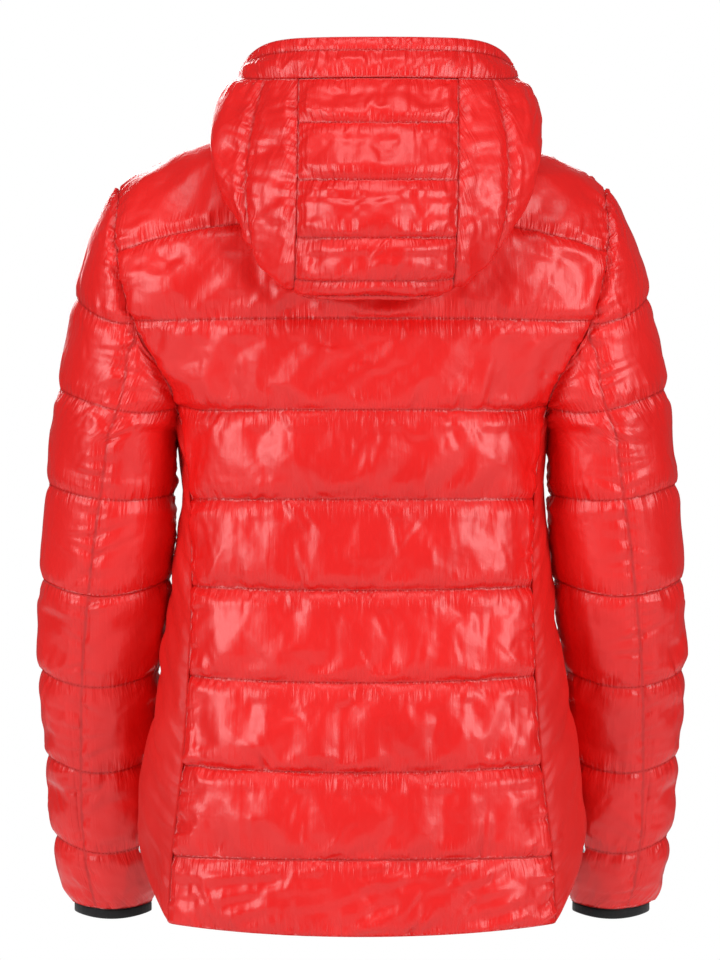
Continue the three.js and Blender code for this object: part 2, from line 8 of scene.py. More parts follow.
import bpy
import mathutils
import numpy as np
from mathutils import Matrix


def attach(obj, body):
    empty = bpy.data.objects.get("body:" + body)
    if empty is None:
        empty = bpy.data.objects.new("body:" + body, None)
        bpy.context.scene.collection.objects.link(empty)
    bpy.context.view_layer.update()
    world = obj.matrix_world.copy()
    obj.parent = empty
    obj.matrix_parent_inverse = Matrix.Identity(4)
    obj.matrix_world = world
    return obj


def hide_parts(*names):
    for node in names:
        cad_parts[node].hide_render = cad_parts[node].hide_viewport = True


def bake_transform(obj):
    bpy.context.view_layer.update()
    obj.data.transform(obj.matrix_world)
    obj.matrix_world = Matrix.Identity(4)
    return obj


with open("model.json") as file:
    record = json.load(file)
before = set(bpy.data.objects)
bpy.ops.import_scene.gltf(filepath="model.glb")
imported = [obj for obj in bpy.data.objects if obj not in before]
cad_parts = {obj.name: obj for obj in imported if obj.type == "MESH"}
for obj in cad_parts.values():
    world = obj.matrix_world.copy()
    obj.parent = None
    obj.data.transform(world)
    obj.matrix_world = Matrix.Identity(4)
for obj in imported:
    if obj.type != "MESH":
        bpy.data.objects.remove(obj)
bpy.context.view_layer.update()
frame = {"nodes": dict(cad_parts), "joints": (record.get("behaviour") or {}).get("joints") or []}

# ---------- sizes of the cut ----------
ARMPIT = 440
CHEST = 531
SHOULDER_TIP = 653
ELBOW = 305
CUFF = 13
HEM_FRONT = 62
TOP = 700  # the row along the shoulder line
SIDE_TOP = 453  # the row at which the side panels end and the armholes begin
SIDES = {"left": 1, "right": -1}
NECK = {"half": 88, "side": 697, "back": 672, "front": 622, "y_back": 76, "y_front": -106.6}
ARMHOLE = {"z": 546.5, "high": 106.5, "deep": 74}
ZIP = {"gap_half": 10, "low": 62, "high": 705, "y_low": -124, "y_high": -104, "inset": 5}
BODY_DEPTH = 12.2  # from a panel's mean surface to the inner face of its fill, mm
ARM_DEPTH = 10.4
HOOD_DEPTH = 8.1

# ---------- sewing ----------
COARSE = 7.0  # spacing of the cloth's points while it is inflated, mm
FINER = 3  # how many times finer the finished cloth is
SEAM_SINK = 5.0  # how deep a quilting seam is drawn in, mm
SEAM_REACH = 11.0  # how far from the seam the cloth dips towards it, mm
STITCH = 3.2  # stitch pitch, mm
THREAD_RADIUS = 0.3
THREAD_LIFT = 0.35  # how far a stitch stands off the cloth, mm
FRAMES = 16  # steps of the cloth simulation
MOST_SWELL = 13.0  # no point of the cloth swells further than this, mm
UNEVEN = 0.5  # how unevenly the fill lies, mm
SIDE_SINK = 2.4  # how deep the side and armhole seams are drawn in, mm
RIDGE_SINK = 1.0  # the same on the shoulder line, which is hardly drawn in at all
ARMHOLE_REACH = 45  # how far from the armhole the cloth dips towards its middle, mm
ARMHOLE_LOW = 425  # the height above which it does so, mm
SAG = 1.35  # how far the fullest part of a baffle lies below its middle, as a power
FILL_SPREAD = 0.16  # how unequally the baffles are filled
GATHER = {"above": 0.76, "below": 0.7, "side": 1.1, "side_reach": 17}  # height of the gathers at a seam, mm
CREASE = {"apart": 15, "length": (16, 52), "width": (1.3, 2.8), "lean": 0.5, "height": (0.25, 0.9)}

shoulder = next(j for j in frame["joints"] if j["name"] == "left_shoulder")
ORIGIN = np.array([213, 0, SHOULDER_TIP]) - 1000 * np.array(shoulder["pos_m"])


def metres(points):
    return (np.asarray(points, float) - ORIGIN) / 1000


# ---------- curves ----------
def through(pairs):
    """A smooth curve through a few (position, value) pairs, held level past its ends."""
    x, y = np.array(pairs, float).T
    last = len(x) - 1
    before = np.maximum(np.arange(len(x)) - 1, 0)
    after = np.minimum(np.arange(len(x)) + 1, last)
    slope = (y[after] - y[before]) / (x[after] - x[before])

    def curve(at):
        t = np.clip(at, x[0], x[-1])
        i = np.clip(np.searchsorted(x, t) - 1, 0, last - 1)
        h = x[i + 1] - x[i]
        u = (t - x[i]) / h
        v = 1 - u
        bend = h * u * v * (v * slope[i] - u * slope[i + 1])
        return v * v * (1 + 2 * u) * y[i] + u * u * (3 - 2 * u) * y[i + 1] + bend

    return curve


def mix(a, b, t):
    return a + (b - a) * t


def smooth(t):
    t = np.clip(t, 0, 1)
    return t * t * (3 - 2 * t)


def unit(v):
    return v / np.maximum(np.linalg.norm(v, axis=-1, keepdims=True), 1e-9)


def stack(x, y, z):
    return np.stack(np.broadcast_arrays(x, y, z), axis=-1).astype(float)


# ---------- the body ----------
side_half = through([(10, 192), (71, 196), (150, 189), (228, 176), (300, 163), (376, 158), (453, 159)])
armhole_x = through([(ARMPIT, 160), (470, 167), (CHEST, 199), (597, 214), (SHOULDER_TIP, 212)])
BACK_EDGE = {
    "x": through([(0, 169), (66, 166), (141, 157), (218, 152), (300, 150), (376, 152), (453, 161)]),
    "y": through([(0, 74), (66, 74), (150, 72), (228, 67), (300, 57), (376, 47), (453, 35)]),
    "z": through([(0, 9), (66, 67), (141, 146), (218, 223), (297, 300), (376, 376), (453, 453),
                  (CHEST, 529)]),
}
FRONT_EDGE = {
    "x": through([(62, 172), (150, 165), (228, 157), (300, 151), (376, 151), (453, 161)]),
    "y": through([(62, -70), (150, -68), (228, -64), (300, -57), (376, -48), (453, -35)]),
    "z": through([(62, 71), (150, 154), (228, 230), (300, 301), (376, 376), (453, 453), (CHEST, 529)]),
}
back_centre = through([(0, 112), (66, 114), (150, 112), (228, 107), (300, 103), (376, 104), (453, 109),
                       (CHEST, 112)])
ridge = through([(NECK["half"], NECK["side"]), (125, 692), (158, 681), (189, 667), (212, SHOULDER_TIP)])


def zip_y(z):
    return mix(ZIP["y_low"], ZIP["y_high"], (z - ZIP["low"]) / (ZIP["high"] - ZIP["low"]))


def armhole_y(z):
    return ARMHOLE["deep"] * np.sqrt(np.maximum(0, 1 - ((z - ARMHOLE["z"]) / ARMHOLE["high"]) ** 2))


def body_edge(side, row):
    """How far a row has turned over the shoulder, and the X and Z of its edge."""
    edge = BACK_EDGE if side > 0 else FRONT_EDGE
    turn = np.maximum(0, row - CHEST) / (TOP - CHEST) * math.pi / 2
    edge_z = mix(edge["z"](np.minimum(row, CHEST)), SHOULDER_TIP, np.sin(turn))
    return turn, np.where(row < SIDE_TOP, edge["x"](row), armhole_x(edge_z)), edge_z


def body_point(side, s, row):
    """A point on the back (side 1) or front (side -1). s runs from -1 to 1 across. row is a height up to
    CHEST, and from there to TOP it turns over to the shoulder line."""
    edge = BACK_EDGE if side > 0 else FRONT_EDGE
    low = np.minimum(row, CHEST)
    turn, half, edge_z = body_edge(side, row)
    x = s * half
    z0 = mix(low, edge["z"](low), s * s)
    edge_y = np.where(row < SIDE_TOP, edge["y"](row),
                      side * armhole_y(edge_z) / np.maximum(np.cos(turn), 1e-3))
    middle = back_centre(low) if side > 0 else zip_y(low)
    crown = np.maximum(0, 1 - np.abs(s) ** 2.2) ** 0.6
    y0 = edge_y + (middle - edge_y) * crown
    opening = np.sqrt(np.maximum(0, 1 - (x / NECK["half"]) ** 2))
    neck_z = mix(NECK["side"], NECK["back" if side > 0 else "front"], opening)
    z_top = np.where(np.abs(x) < NECK["half"], neck_z, ridge(np.abs(x)))
    y_top = NECK["y_back" if side > 0 else "y_front"] * opening
    return stack(x, mix(y_top, y0, np.cos(turn)), mix(z0, z_top, np.sin(turn)))


def body_inward(p):
    core = stack(np.clip(p[..., 0], -95, 95) * 0.9, 0, np.minimum(p[..., 2], 560))
    return unit(core - p)


side_hem = through([(0, 9), (0.25, 46), (0.5, 73), (1, 71)])
ROWS = np.linspace(0, CHEST, 900)


def side_point(side, q, f):
    """A point on the left side panel (side 1) or the right one. q runs from the back seam to the front seam,
    and f from the hem to the armhole."""
    z = mix(side_hem(q), SIDE_TOP - 12 * np.sin(math.pi * q), f)
    row_b = np.interp(mix(BACK_EDGE["z"](0), SIDE_TOP, f), BACK_EDGE["z"](ROWS), ROWS)
    row_f = np.interp(mix(FRONT_EDGE["z"](HEM_FRONT), SIDE_TOP, f), FRONT_EDGE["z"](ROWS), ROWS)
    flat = mix(BACK_EDGE["x"](row_b), FRONT_EDGE["x"](row_f), q)
    y = mix(BACK_EDGE["y"](row_b), FRONT_EDGE["y"](row_f), q)
    bulge = 1 - (2 * q - 1) ** 2
    return stack(side * (flat + np.maximum(0, side_half(z) - flat) * bulge), y, z)


# ---------- the sleeves ----------
sleeve_outer = through([(5, 258), (13, 262), (34, 271), (76, 277), (146, 283), (216, 287), (322, 284),
                        (406, 277), (455, 271), (497, 265), (540, 256), (583, 247), (625, 231),
                        (SHOULDER_TIP, 213)])
sleeve_inner = through([(5, 190), (13, 187), (34, 181), (76, 180), (146, 180), (216, 178), (322, 165),
                        (ARMPIT, 162)])
sleeve_deep = through([(5, 32), (13, 35), (34, 44), (76, 48), (146, 51), (216, 55), (322, 62), (ARMPIT, 67),
                       (500, 71.5), (ARMHOLE["z"], ARMHOLE["deep"])])
sleeve_y = through([(5, -108), (76, -91), (146, -70), (216, -46), (322, -16), (400, -4), (ARMPIT, 0),
                    (500, 0)])
back_seam = through([(5, 68), (87, 65), (194, 73), (320, 78), (418, 86), (545, 92)])
BACK_SEAM_U = 0.76  # share of the way round the sleeve at which the seam down its back lies
ARM_TUCK = 1.2  # how far the sleeve's top tucks in under the body's edge, mm


def sleeve_ring(z):
    """How far round the sleeve goes at this height, in radians each way, and its ellipse."""
    outer = sleeve_outer(z)
    inner = sleeve_inner(z)
    edge = armhole_x(z) - ARM_TUCK
    half = armhole_y(z)
    deep = np.maximum(sleeve_deep(z), half * 1.0001)
    closed = z <= ARMPIT
    open_reach = np.pi - np.arcsin(np.clip(half / deep, 0, 1))
    open_x = (edge - outer * np.cos(open_reach)) / (1 - np.cos(open_reach))
    high = z >= ARMHOLE["z"]
    reach = np.where(closed, np.pi, np.where(high, np.pi / 2, open_reach))
    x = np.where(closed, (outer + inner) / 2, np.where(high, edge, open_x))
    deep = np.where(closed, sleeve_deep(z), np.where(high, half, deep))
    return reach, x, outer - x, deep, sleeve_y(z)


def sleeve_share(u, w):
    """Where column u (0 to 1 round the sleeve) lies, as a share of the reach from -1 to 1."""
    seam = np.radians(back_seam(w)) / sleeve_ring(w)[0]
    at_top = np.where(w > CHEST, 1.0, np.maximum(seam, 0.98))
    seam = mix(seam, at_top, smooth((w - 500) / (CHEST - 500)))
    return np.where(u <= BACK_SEAM_U, mix(-1.0, seam, u / BACK_SEAM_U),
                    mix(seam, 1.0, (u - BACK_SEAM_U) / (1 - BACK_SEAM_U)))


quilt_sag_high = through([(ARMPIT, 17), (472, 19), (553, 25), (600, 18), (SHOULDER_TIP, 0)])


def sleeve_point(side, u, w):
    """A point on the sleeve. Quilt lines are level in w, and hang lower at the arm's back and front."""
    share = sleeve_share(u, w)
    upper = smooth((w - 330) / (ARMPIT - 330))
    sag_low = 9 * np.sin(math.pi * share) ** 2
    sag_high = quilt_sag_high(w) * np.sin(math.pi / 2 * share) ** 2
    z = w - mix(sag_low, sag_high, upper) * smooth((w - CUFF) / 60)
    share = sleeve_share(u, z)
    reach, x, wide, deep, y = sleeve_ring(z)
    a = share * reach
    drop = 5 * np.sin(a) ** 2 * np.clip((ARMHOLE["z"] - z) / 100, 0, 1)
    return stack(side * (x + wide * np.cos(a)), y + deep * np.sin(a), z - drop)


def sleeve_inward(side, p):
    z = p[..., 2]
    reach, x, wide, deep, y = sleeve_ring(z)
    centre = stack(side * np.maximum(x, 195), y, np.minimum(z, ARMHOLE["z"]))
    return unit(centre - p)


# ---------- the hood ----------
HOOD_BACK = {
    "y": through([(0, 96), (0.15, 113), (0.3, 141), (0.45, 166), (0.6, 180), (0.7, 177), (0.8, 158),
                  (0.88, 136), (1, 98)]),
    "z": through([(0, 776), (0.15, 740), (0.3, 700), (0.45, 649), (0.6, 598), (0.7, 562), (0.8, 545),
                  (0.88, 566), (1, 657)]),
    "x": through([(0, 122), (0.15, 124), (0.3, 126), (0.45, 125), (0.6, 119), (0.7, 108), (0.8, 94),
                  (0.88, 88), (1, 92)]),
}
HOOD_SIDE = {
    "z": through([(0, 758), (0.3, 737), (0.6, 716), (0.85, 706), (1, 705)]),
    "x": through([(0, 122), (0.15, 126), (0.45, 136), (0.6, 138), (0.8, 132), (0.92, 118), (1, 106)]),
}
HOOD_REACH = 108  # how far round the neck the hood goes each way, degrees
HOOD_SEAM_X = 70  # how far out the seams beside the centre panel lie, mm
BRIM = 0.15  # where the brim's casing ends, as a share of the way down
HOOD_CLEAR = 3.5  # how far behind the body the hood lies, mm
HOOD_LEAN = -14  # how far it has slipped to one side, mm
HOOD_LOBE = 26  # how far its cheeks stand out, mm


def back_y(x, z):
    """How far back the body's surface lies at this place, or nothing above the shoulder line."""
    def at(row):
        half = np.where(row < SIDE_TOP, BACK_EDGE["x"](row),
                        armhole_x(BACK_EDGE["z"](np.minimum(row, CHEST))))
        return body_point(1, np.clip(x / half, -1, 1), row)
    low = np.full(np.shape(x), 400.0)
    high = np.full(np.shape(x), float(TOP))
    for _ in range(20):
        middle = (low + high) / 2
        under = at(middle)[..., 2] < z
        low = np.where(under, middle, low)
        high = np.where(under, high, middle)
    return np.where(z > at(np.full(np.shape(x), float(TOP)))[..., 2], -1e6, at(low)[..., 1])


def hood_point(angle, v):
    """A point on the lowered hood. angle is in degrees from the middle of the back, and v runs from the
    brim's edge over the crown and down to the fold, then up to the neck seam."""
    a = np.radians(angle)
    sine = np.abs(np.sin(a))
    cosine = np.cos(a)
    aside = np.where(np.abs(angle) > 90, 1.0, sine ** 7)
    lobe = HOOD_LOBE * np.sin(np.pi * aside ** 0.6) * np.sin(np.pi * v) ** 2
    half = mix(HOOD_BACK["x"](v), HOOD_SIDE["x"](v), aside) * sine ** 0.9 + lobe
    x = np.sign(angle) * half + HOOD_LEAN * (1 - v ** 4)
    y = np.where(cosine > 0, HOOD_BACK["y"](v) * np.maximum(cosine, 0) ** 0.9, 115 * cosine)
    z = mix(HOOD_BACK["z"](v), HOOD_SIDE["z"](v), aside) - 30 * np.maximum(0, -cosine) * (1 - v)
    limit = back_y(x, z) + HOOD_CLEAR
    clear = np.where(limit < -1e5, y, (y + limit + np.hypot(y - limit, 14)) / 2)
    return stack(x, np.where(v > 0.5, clear, y), z)


def hood_inward(angle, v, point=None):
    """The way into the jacket. Every such function takes the point too, and only some of them need it."""
    along = hood_point(angle + 6, v) - hood_point(angle - 6, v)
    down = hood_point(angle, np.minimum(1, v + 0.04)) - hood_point(angle, np.maximum(0, v - 0.04))
    return unit(np.cross(down, along))


def hood_seam_table():
    """The angle at which the seam beside the centre panel runs, for a row of values of v."""
    at = np.linspace(0, 1, 120)
    low = np.zeros(120)
    high = np.full(120, 90.0)
    for _ in range(18):
        middle = (low + high) / 2
        inside = hood_point(middle, at)[..., 0] - HOOD_LEAN * (1 - at ** 4) < HOOD_SEAM_X
        low = np.where(inside, middle, low)
        high = np.where(inside, high, middle)
    return at, low


HOOD_SEAMS = hood_seam_table()


def hood_seam(v):
    return np.interp(v, *HOOD_SEAMS)


# ---------- the collar ----------
COLLAR = {"rise": 72, "lean": 4, "fill": 9}
COLLAR_END = 180 - math.degrees(math.asin((ZIP["gap_half"] + 1) / NECK["half"]))


def collar_point(angle, f):
    a = np.radians(angle)
    c = np.cos(a)
    half = NECK["half"] - COLLAR["lean"] * f
    back = NECK["y_back"] - COLLAR["lean"] * f
    foot = mix(NECK["side"], np.where(c > 0, NECK["back"], NECK["front"]), np.abs(c))
    z = foot + 1 + f * (COLLAR["rise"] + 10 * np.maximum(0, -c))
    y = np.where(c > 0, back * c, -NECK["y_front"] * c + (zip_y(z) - NECK["y_front"]) * np.maximum(0, -c))
    return stack(half * np.sin(a), y, z)


def collar_inward(angle, f, point=None):
    a = np.radians(angle)
    return stack(-np.sin(a), -np.cos(a), np.zeros_like(a * f))


# ---------- cloth grids ----------
def run_of(path):
    """Distance of each point of a path from the first."""
    return np.concatenate([[0], np.cumsum(np.linalg.norm(np.diff(path, axis=0), axis=1))])


def spaced(surface, row, low, high, step):
    """Values of u from low to high that lie evenly along one row of a surface."""
    u = np.linspace(low, high, 400)
    run = run_of(surface(u, np.full_like(u, row)))
    count = max(3, round(run[-1] / step))
    return np.interp(np.linspace(0, run[-1], count + 1), run, u)


def rows_between(surface, middle, seams, step):
    """Rows for a quilted panel: every seam is a row, with even rows between. Gives the rows and the seams'
    places among them."""
    rows = [seams[0]]
    places = [0]
    for low, high in zip(seams, seams[1:]):
        v = np.linspace(low, high, 40)
        run = run_of(surface(np.full_like(v, middle), v))
        count = max(3, round(run[-1] / step))
        rows += list(np.interp(np.linspace(0, run[-1], count + 1)[1:], run, v))
        places.append(places[-1] + count)
    return np.array(rows), places


def run_along(p, axis):
    """Distance along a grid of points from its first row or column."""
    gap = np.linalg.norm(np.diff(p, axis=axis), axis=-1)
    zero = np.zeros_like(np.take(gap, [0], axis=axis))
    return np.concatenate([zero, np.cumsum(gap, axis=axis)], axis=axis)


def nearest(run, places, axis):
    """Distance of every point of a grid from the nearest of some rows (axis 0) or columns (axis 1)."""
    gaps = [np.abs(run - np.take(run, [k], axis=axis)) for k in places]
    return np.min(gaps, axis=0)


def finer(count, breaks):
    """Weights that make a row of points FINER times finer: curved between the breaks, and creased at them."""
    total = (count - 1) * FINER + 1
    weights = np.zeros((total, count))
    edges = sorted({0, count - 1, *breaks})
    for k in range(total):
        i = min(k // FINER, count - 2)
        t = k / FINER - i
        low = max(e for e in edges if e <= i)
        high = min(e for e in edges if e > i)
        share = (-t / 2 + t * t - t ** 3 / 2, 1 - 2.5 * t * t + 1.5 * t ** 3,
                 t / 2 + 2 * t * t - 1.5 * t ** 3, -t * t / 2 + t ** 3 / 2)
        weights[k, i] += share[1]
        weights[k, i + 1] += share[2]
        if i > low:
            weights[k, i - 1] += share[0]
        else:
            weights[k, i] += 2 * share[0]
            weights[k, i + 1] -= share[0]
        if i + 2 <= high:
            weights[k, i + 2] += share[3]
        else:
            weights[k, i + 1] += 2 * share[3]
            weights[k, i] -= share[3]
    return weights


def towards_armhole(p, across, inward, wanted):
    """Beside an armhole, body and sleeve both dip towards its middle, so that their edges stay together."""
    if not wanted:
        return inward
    centre = stack(p[..., 0], 0 * p[..., 1], np.full(p.shape[:2], float(ARMHOLE["z"])))
    edge = np.minimum(across, across[:, [-1]] - across)
    near = (1 - smooth(edge / ARMHOLE_REACH)) * smooth((p[..., 2] - ARMHOLE_LOW) / 30)
    return unit(mix(inward, unit(centre - p), near[..., None]))


class Quilt:
    """One padded panel while it is being made: its grid, its seams and how full it is. surface and inward
    are functions of two coordinates, us and vs their values, and seams and columns the rows and columns that
    are sewn. sink, ends and sides say how deep the seams are drawn in. swell is the share by which the cloth
    shrinks, so that it grows where swell is below zero. puckers scales the number of long creases, and drawn
    is the height of the creases in a casing that is drawn in."""

    def __init__(self, name, surface, inward, us, vs, seams, columns=(), sink=SEAM_SINK, depth=BODY_DEPTH,
                 swell=-0.035, seed=1, puckers=1.0, drawn=0.0, armhole=False, ends=(None, None), sides=None):
        self.name = name
        self.seams = list(seams)
        self.columns = sorted({0, len(us) - 1, *columns})
        self.swell = swell
        self.puckers = puckers
        self.drawn = drawn
        self.rng = np.random.default_rng(seed)
        grid_u, grid_v = np.meshgrid(us, vs)
        self.surface = surface(grid_u, grid_v)
        across = run_along(self.surface, 1)
        self.inward = towards_armhole(self.surface, across, inward(grid_u, grid_v, self.surface), armhole)
        up = run_along(self.surface, 0)
        sinks = {(0, k): sink for k in self.seams} | {(1, k): sink for k in self.columns}
        for place, wanted in (((0, 0), ends[0]), ((0, self.seams[-1]), ends[1]), ((1, 0), sides),
                              ((1, len(us) - 1), sides)):
            sinks[place] = sink if wanted is None else wanted
        dip = np.zeros(self.surface.shape[:2])
        for (axis, k), drawn in sinks.items():
            gap = nearest((up, across)[axis], [k], axis)
            dip = np.maximum(dip, drawn * (1 - smooth(gap / SEAM_REACH)))
        free = smooth(np.minimum(nearest(up, self.seams, 0), nearest(across, self.columns, 1)) / SEAM_REACH)
        uneven = waves(self.rng, 12, 35, 120, across, up) * free
        self.start = self.surface + self.inward * (dip + UNEVEN * uneven)[..., None]
        self.back = self.surface + self.inward * depth
        self.pinned = np.zeros(self.surface.shape[:2], bool)
        self.pinned[self.seams, :] = True
        self.pinned[:, self.columns] = True
        self.shape = self.start


def grid_faces(rows, columns, offset=0, flip=False):
    a = (np.arange(rows - 1)[:, None] * columns + np.arange(columns - 1)).ravel() + offset
    quads = np.stack([a, a + 1, a + columns + 1, a + columns], axis=1)
    return quads[:, ::-1] if flip else quads


def faces_inward(quilt):
    """True if the grid's own faces point into the jacket, so that they have to be turned over."""
    p = quilt.surface
    i, j = p.shape[0] // 2, p.shape[1] // 2
    normal = np.cross(p[i, j + 1] - p[i, j], p[i + 1, j] - p[i, j])
    return float(normal @ quilt.inward[i, j]) > 0


CLOTH = {
    "quality": 3, "mass": 0.05, "tension_stiffness": 8, "compression_stiffness": 8, "shear_stiffness": 3,
    "bending_stiffness": 0.05, "tension_damping": 2, "compression_damping": 2, "shear_damping": 2,
    "bending_damping": 0.2, "air_damping": 2, "vertex_group_mass": "held", "use_pressure": True,
    "uniform_pressure_force": 1.2,
}


def inflate(quilts):
    """Fill the panels: each is pinned along its seams and swells outwards under pressure, as baffles do."""
    scene = bpy.context.scene
    made = []
    for quilt in quilts:
        rows, columns = quilt.start.shape[:2]
        mesh = bpy.data.meshes.new("swelling")
        faces = grid_faces(rows, columns, flip=faces_inward(quilt))
        mesh.from_pydata(metres(quilt.start).reshape(-1, 3).tolist(), [], faces.tolist())
        cloth = bpy.data.objects.new("swelling", mesh)
        scene.collection.objects.link(cloth)
        held = cloth.vertex_groups.new(name="held")
        held.add(np.flatnonzero(quilt.pinned.ravel()).tolist(), 1.0, "REPLACE")
        modifier = cloth.modifiers.new("swell", "CLOTH")
        for key, value in CLOTH.items():
            setattr(modifier.settings, key, value)
        modifier.settings.shrink_min = quilt.swell
        modifier.settings.effector_weights.gravity = 0
        modifier.collision_settings.use_collision = False
        modifier.point_cache.frame_start = 1
        modifier.point_cache.frame_end = FRAMES
        made.append(cloth)
    for step in range(1, FRAMES + 1):
        scene.frame_set(step)
    graph = bpy.context.evaluated_depsgraph_get()
    for quilt, cloth in zip(quilts, made):
        settled = cloth.evaluated_get(graph).to_mesh()
        co = np.zeros(len(settled.vertices) * 3)
        settled.vertices.foreach_get("co", co)
        moved = co.reshape(quilt.start.shape) * 1000 + ORIGIN - quilt.start
        far = np.linalg.norm(moved, axis=-1, keepdims=True)
        quilt.shape = quilt.start + moved * np.minimum(1, MOST_SWELL / np.maximum(far, 1e-6))
    for cloth in made:
        bpy.data.objects.remove(cloth, do_unlink=True)
    scene.frame_set(1)


def even_out(moved, pinned):
    """Take out part of the small unevenness along the baffles, since tight cloth spans it."""
    count = moved.shape[1]
    wide = np.pad(moved, ((0, 0), (2, 2), (0, 0)), "edge")
    near = sum(weight * wide[:, k:k + count] for k, weight in enumerate((1, 2, 3, 2, 1))) / 9
    return np.where(pinned[..., None], moved, mix(moved, near, 0.7))


def let_sag(quilt):
    """The fill settles, so each baffle is fullest below its middle, and rolls under to its lower seam."""
    moved = even_out(quilt.shape - quilt.start, quilt.pinned)
    result = moved.copy()
    for low, high in zip(quilt.seams, quilt.seams[1:]):
        count = high - low
        upright = quilt.surface[high, :, 2].mean() > quilt.surface[low, :, 2].mean()
        share = np.linspace(0, 1, count + 1)
        down = 1 - share if upright else share
        source = down ** SAG
        source = 1 - source if upright else source
        at = low + source * count
        i = np.clip(np.floor(at).astype(int), low, high - 1)
        t = (at - i)[:, None, None]
        full = 1 + FILL_SPREAD * quilt.rng.standard_normal()
        result[low:high + 1] = mix(moved[i], moved[i + 1], t) * np.clip(full, 0.75, 1.25)
    quilt.shape = quilt.start + result


def waves(rng, count, shortest, longest, s, t, spread=math.pi):
    """Smooth noise as a sum of waves whose crests run within spread of up and down the cloth."""
    total = np.zeros(np.broadcast(s, t).shape)
    for _ in range(count):
        length = math.exp(rng.uniform(math.log(shortest), math.log(longest)))
        way = rng.uniform(-spread, spread)
        phase = rng.uniform(0, 2 * math.pi)
        total += np.cos(2 * math.pi / length * (s * math.cos(way) + t * math.sin(way)) + phase)
    return total / math.sqrt(count / 2)


def puckers(quilt, s, t, breaks, side_breaks):
    """Height of the creases, in mm, at distances s across the cloth and t up it: gathers that start at every
    seam, and longer creases across each baffle."""
    rng = quilt.rng
    height = 0.2 * waves(rng, 14, 26, 70, s, t)
    height += quilt.drawn * waves(rng, 14, 9, 30, 0.32 * s, t)
    for k in breaks:
        for way in (-1, 1):
            d = (t - t[k]) * way
            inside = smooth((d + 0.5) / 1.5)
            slant = 0.35 * waves(rng, 5, 40, 130, s, 0 * t)
            lean = s + slant * d
            ridge_line = waves(rng, 16, 6.5, 19, lean, 0 * t)
            strength = np.clip(0.75 + 0.45 * waves(rng, 6, 25, 80, s, 0 * t), 0.1, 1.6)
            reach = np.clip(14 + 8 * waves(rng, 6, 20, 60, s + 11, 0 * t), 4, 32)
            fall = np.exp(-((np.maximum(d, 0) / reach) ** 1.5))
            height += GATHER["above" if way > 0 else "below"] * inside * strength * fall * ridge_line
    for k in side_breaks:
        for way in (-1, 1):
            d = (s - s[:, [k]]) * way
            inside = smooth((d + 0.5) / 1.5)
            ridge_line = waves(rng, 14, 7, 22, t + 0.3 * d * waves(rng, 4, 40, 120, t, 0 * s), 0 * s)
            fall = np.exp(-((np.maximum(d, 0) / GATHER["side_reach"]) ** 1.4))
            height += GATHER["side"] * inside * fall * ridge_line
    return height + long_creases(quilt, s, t, breaks)


def long_creases(quilt, s, t, breaks):
    """Single creases, each a narrow ridge or furrow with a shallower one beside it."""
    rng = quilt.rng
    height = np.zeros_like(s)
    wide = float(s.max())
    edges = sorted({0, len(s) - 1, *breaks})
    for low, high in zip(edges, edges[1:]):
        tall = float(np.abs(t[high] - t[low]).mean())
        for _ in range(int(wide / CREASE["apart"] * quilt.puckers)):
            s0 = rng.uniform(0, wide)
            start = rng.uniform(-0.1, 0.75)
            length = rng.uniform(*CREASE["length"])
            width = rng.uniform(*CREASE["width"])
            lean = rng.normal(0, CREASE["lean"])
            size = rng.uniform(*CREASE["height"]) * rng.choice([-1, 1])
            middle = t[low].mean() + start * tall + length / 2
            b = s - s0 - (t - middle) * lean
            a = (t - middle) / (length / 2)
            window = np.clip(1 - a * a, 0, 1) ** 1.2
            close = (np.abs(b) < 4.5 * width) & (window > 0)
            shape = np.exp(-((b / width) ** 2)) - 0.6 * np.exp(-(((b - 1.9 * width) / (1.2 * width)) ** 2))
            height += np.where(close, size * window * shape, 0)
    return height


def outward_normals(p, inward):
    du = np.gradient(p, axis=1)
    dv = np.gradient(p, axis=0)
    normal = unit(np.cross(du, dv))
    turn = np.sign(-(normal * inward).sum(-1, keepdims=True))
    return normal * np.where(turn == 0, 1, turn)


def thread_points(path, lift):
    """Small spindles of thread laid end to end along a path."""
    run = run_of(path)
    count = max(2, int(run[-1] / STITCH))
    centre = (np.arange(count) + 0.5) * run[-1] / count
    half = 0.36 * STITCH

    def at(where, values=path):
        return np.stack([np.interp(where, run, values[:, k]) for k in range(3)], axis=1)

    first, last, normal = at(centre - half), at(centre + half), unit(at(centre, lift))
    side = unit(np.cross(last - first, normal)) * THREAD_RADIUS
    up = normal * THREAD_RADIUS
    raised = at(centre) + normal * THREAD_LIFT
    corners = [first, last, raised + side, raised + up, raised - side, raised - up]
    points = np.stack(corners, axis=1).reshape(-1, 3)
    ring = [(2, 3), (3, 4), (4, 5), (5, 2)]
    faces = [(0, b, a) for a, b in ring] + [(1, a, b) for a, b in ring]
    index = np.array(faces)[None] + 6 * np.arange(count)[:, None, None]
    return points, index.reshape(-1, 3)


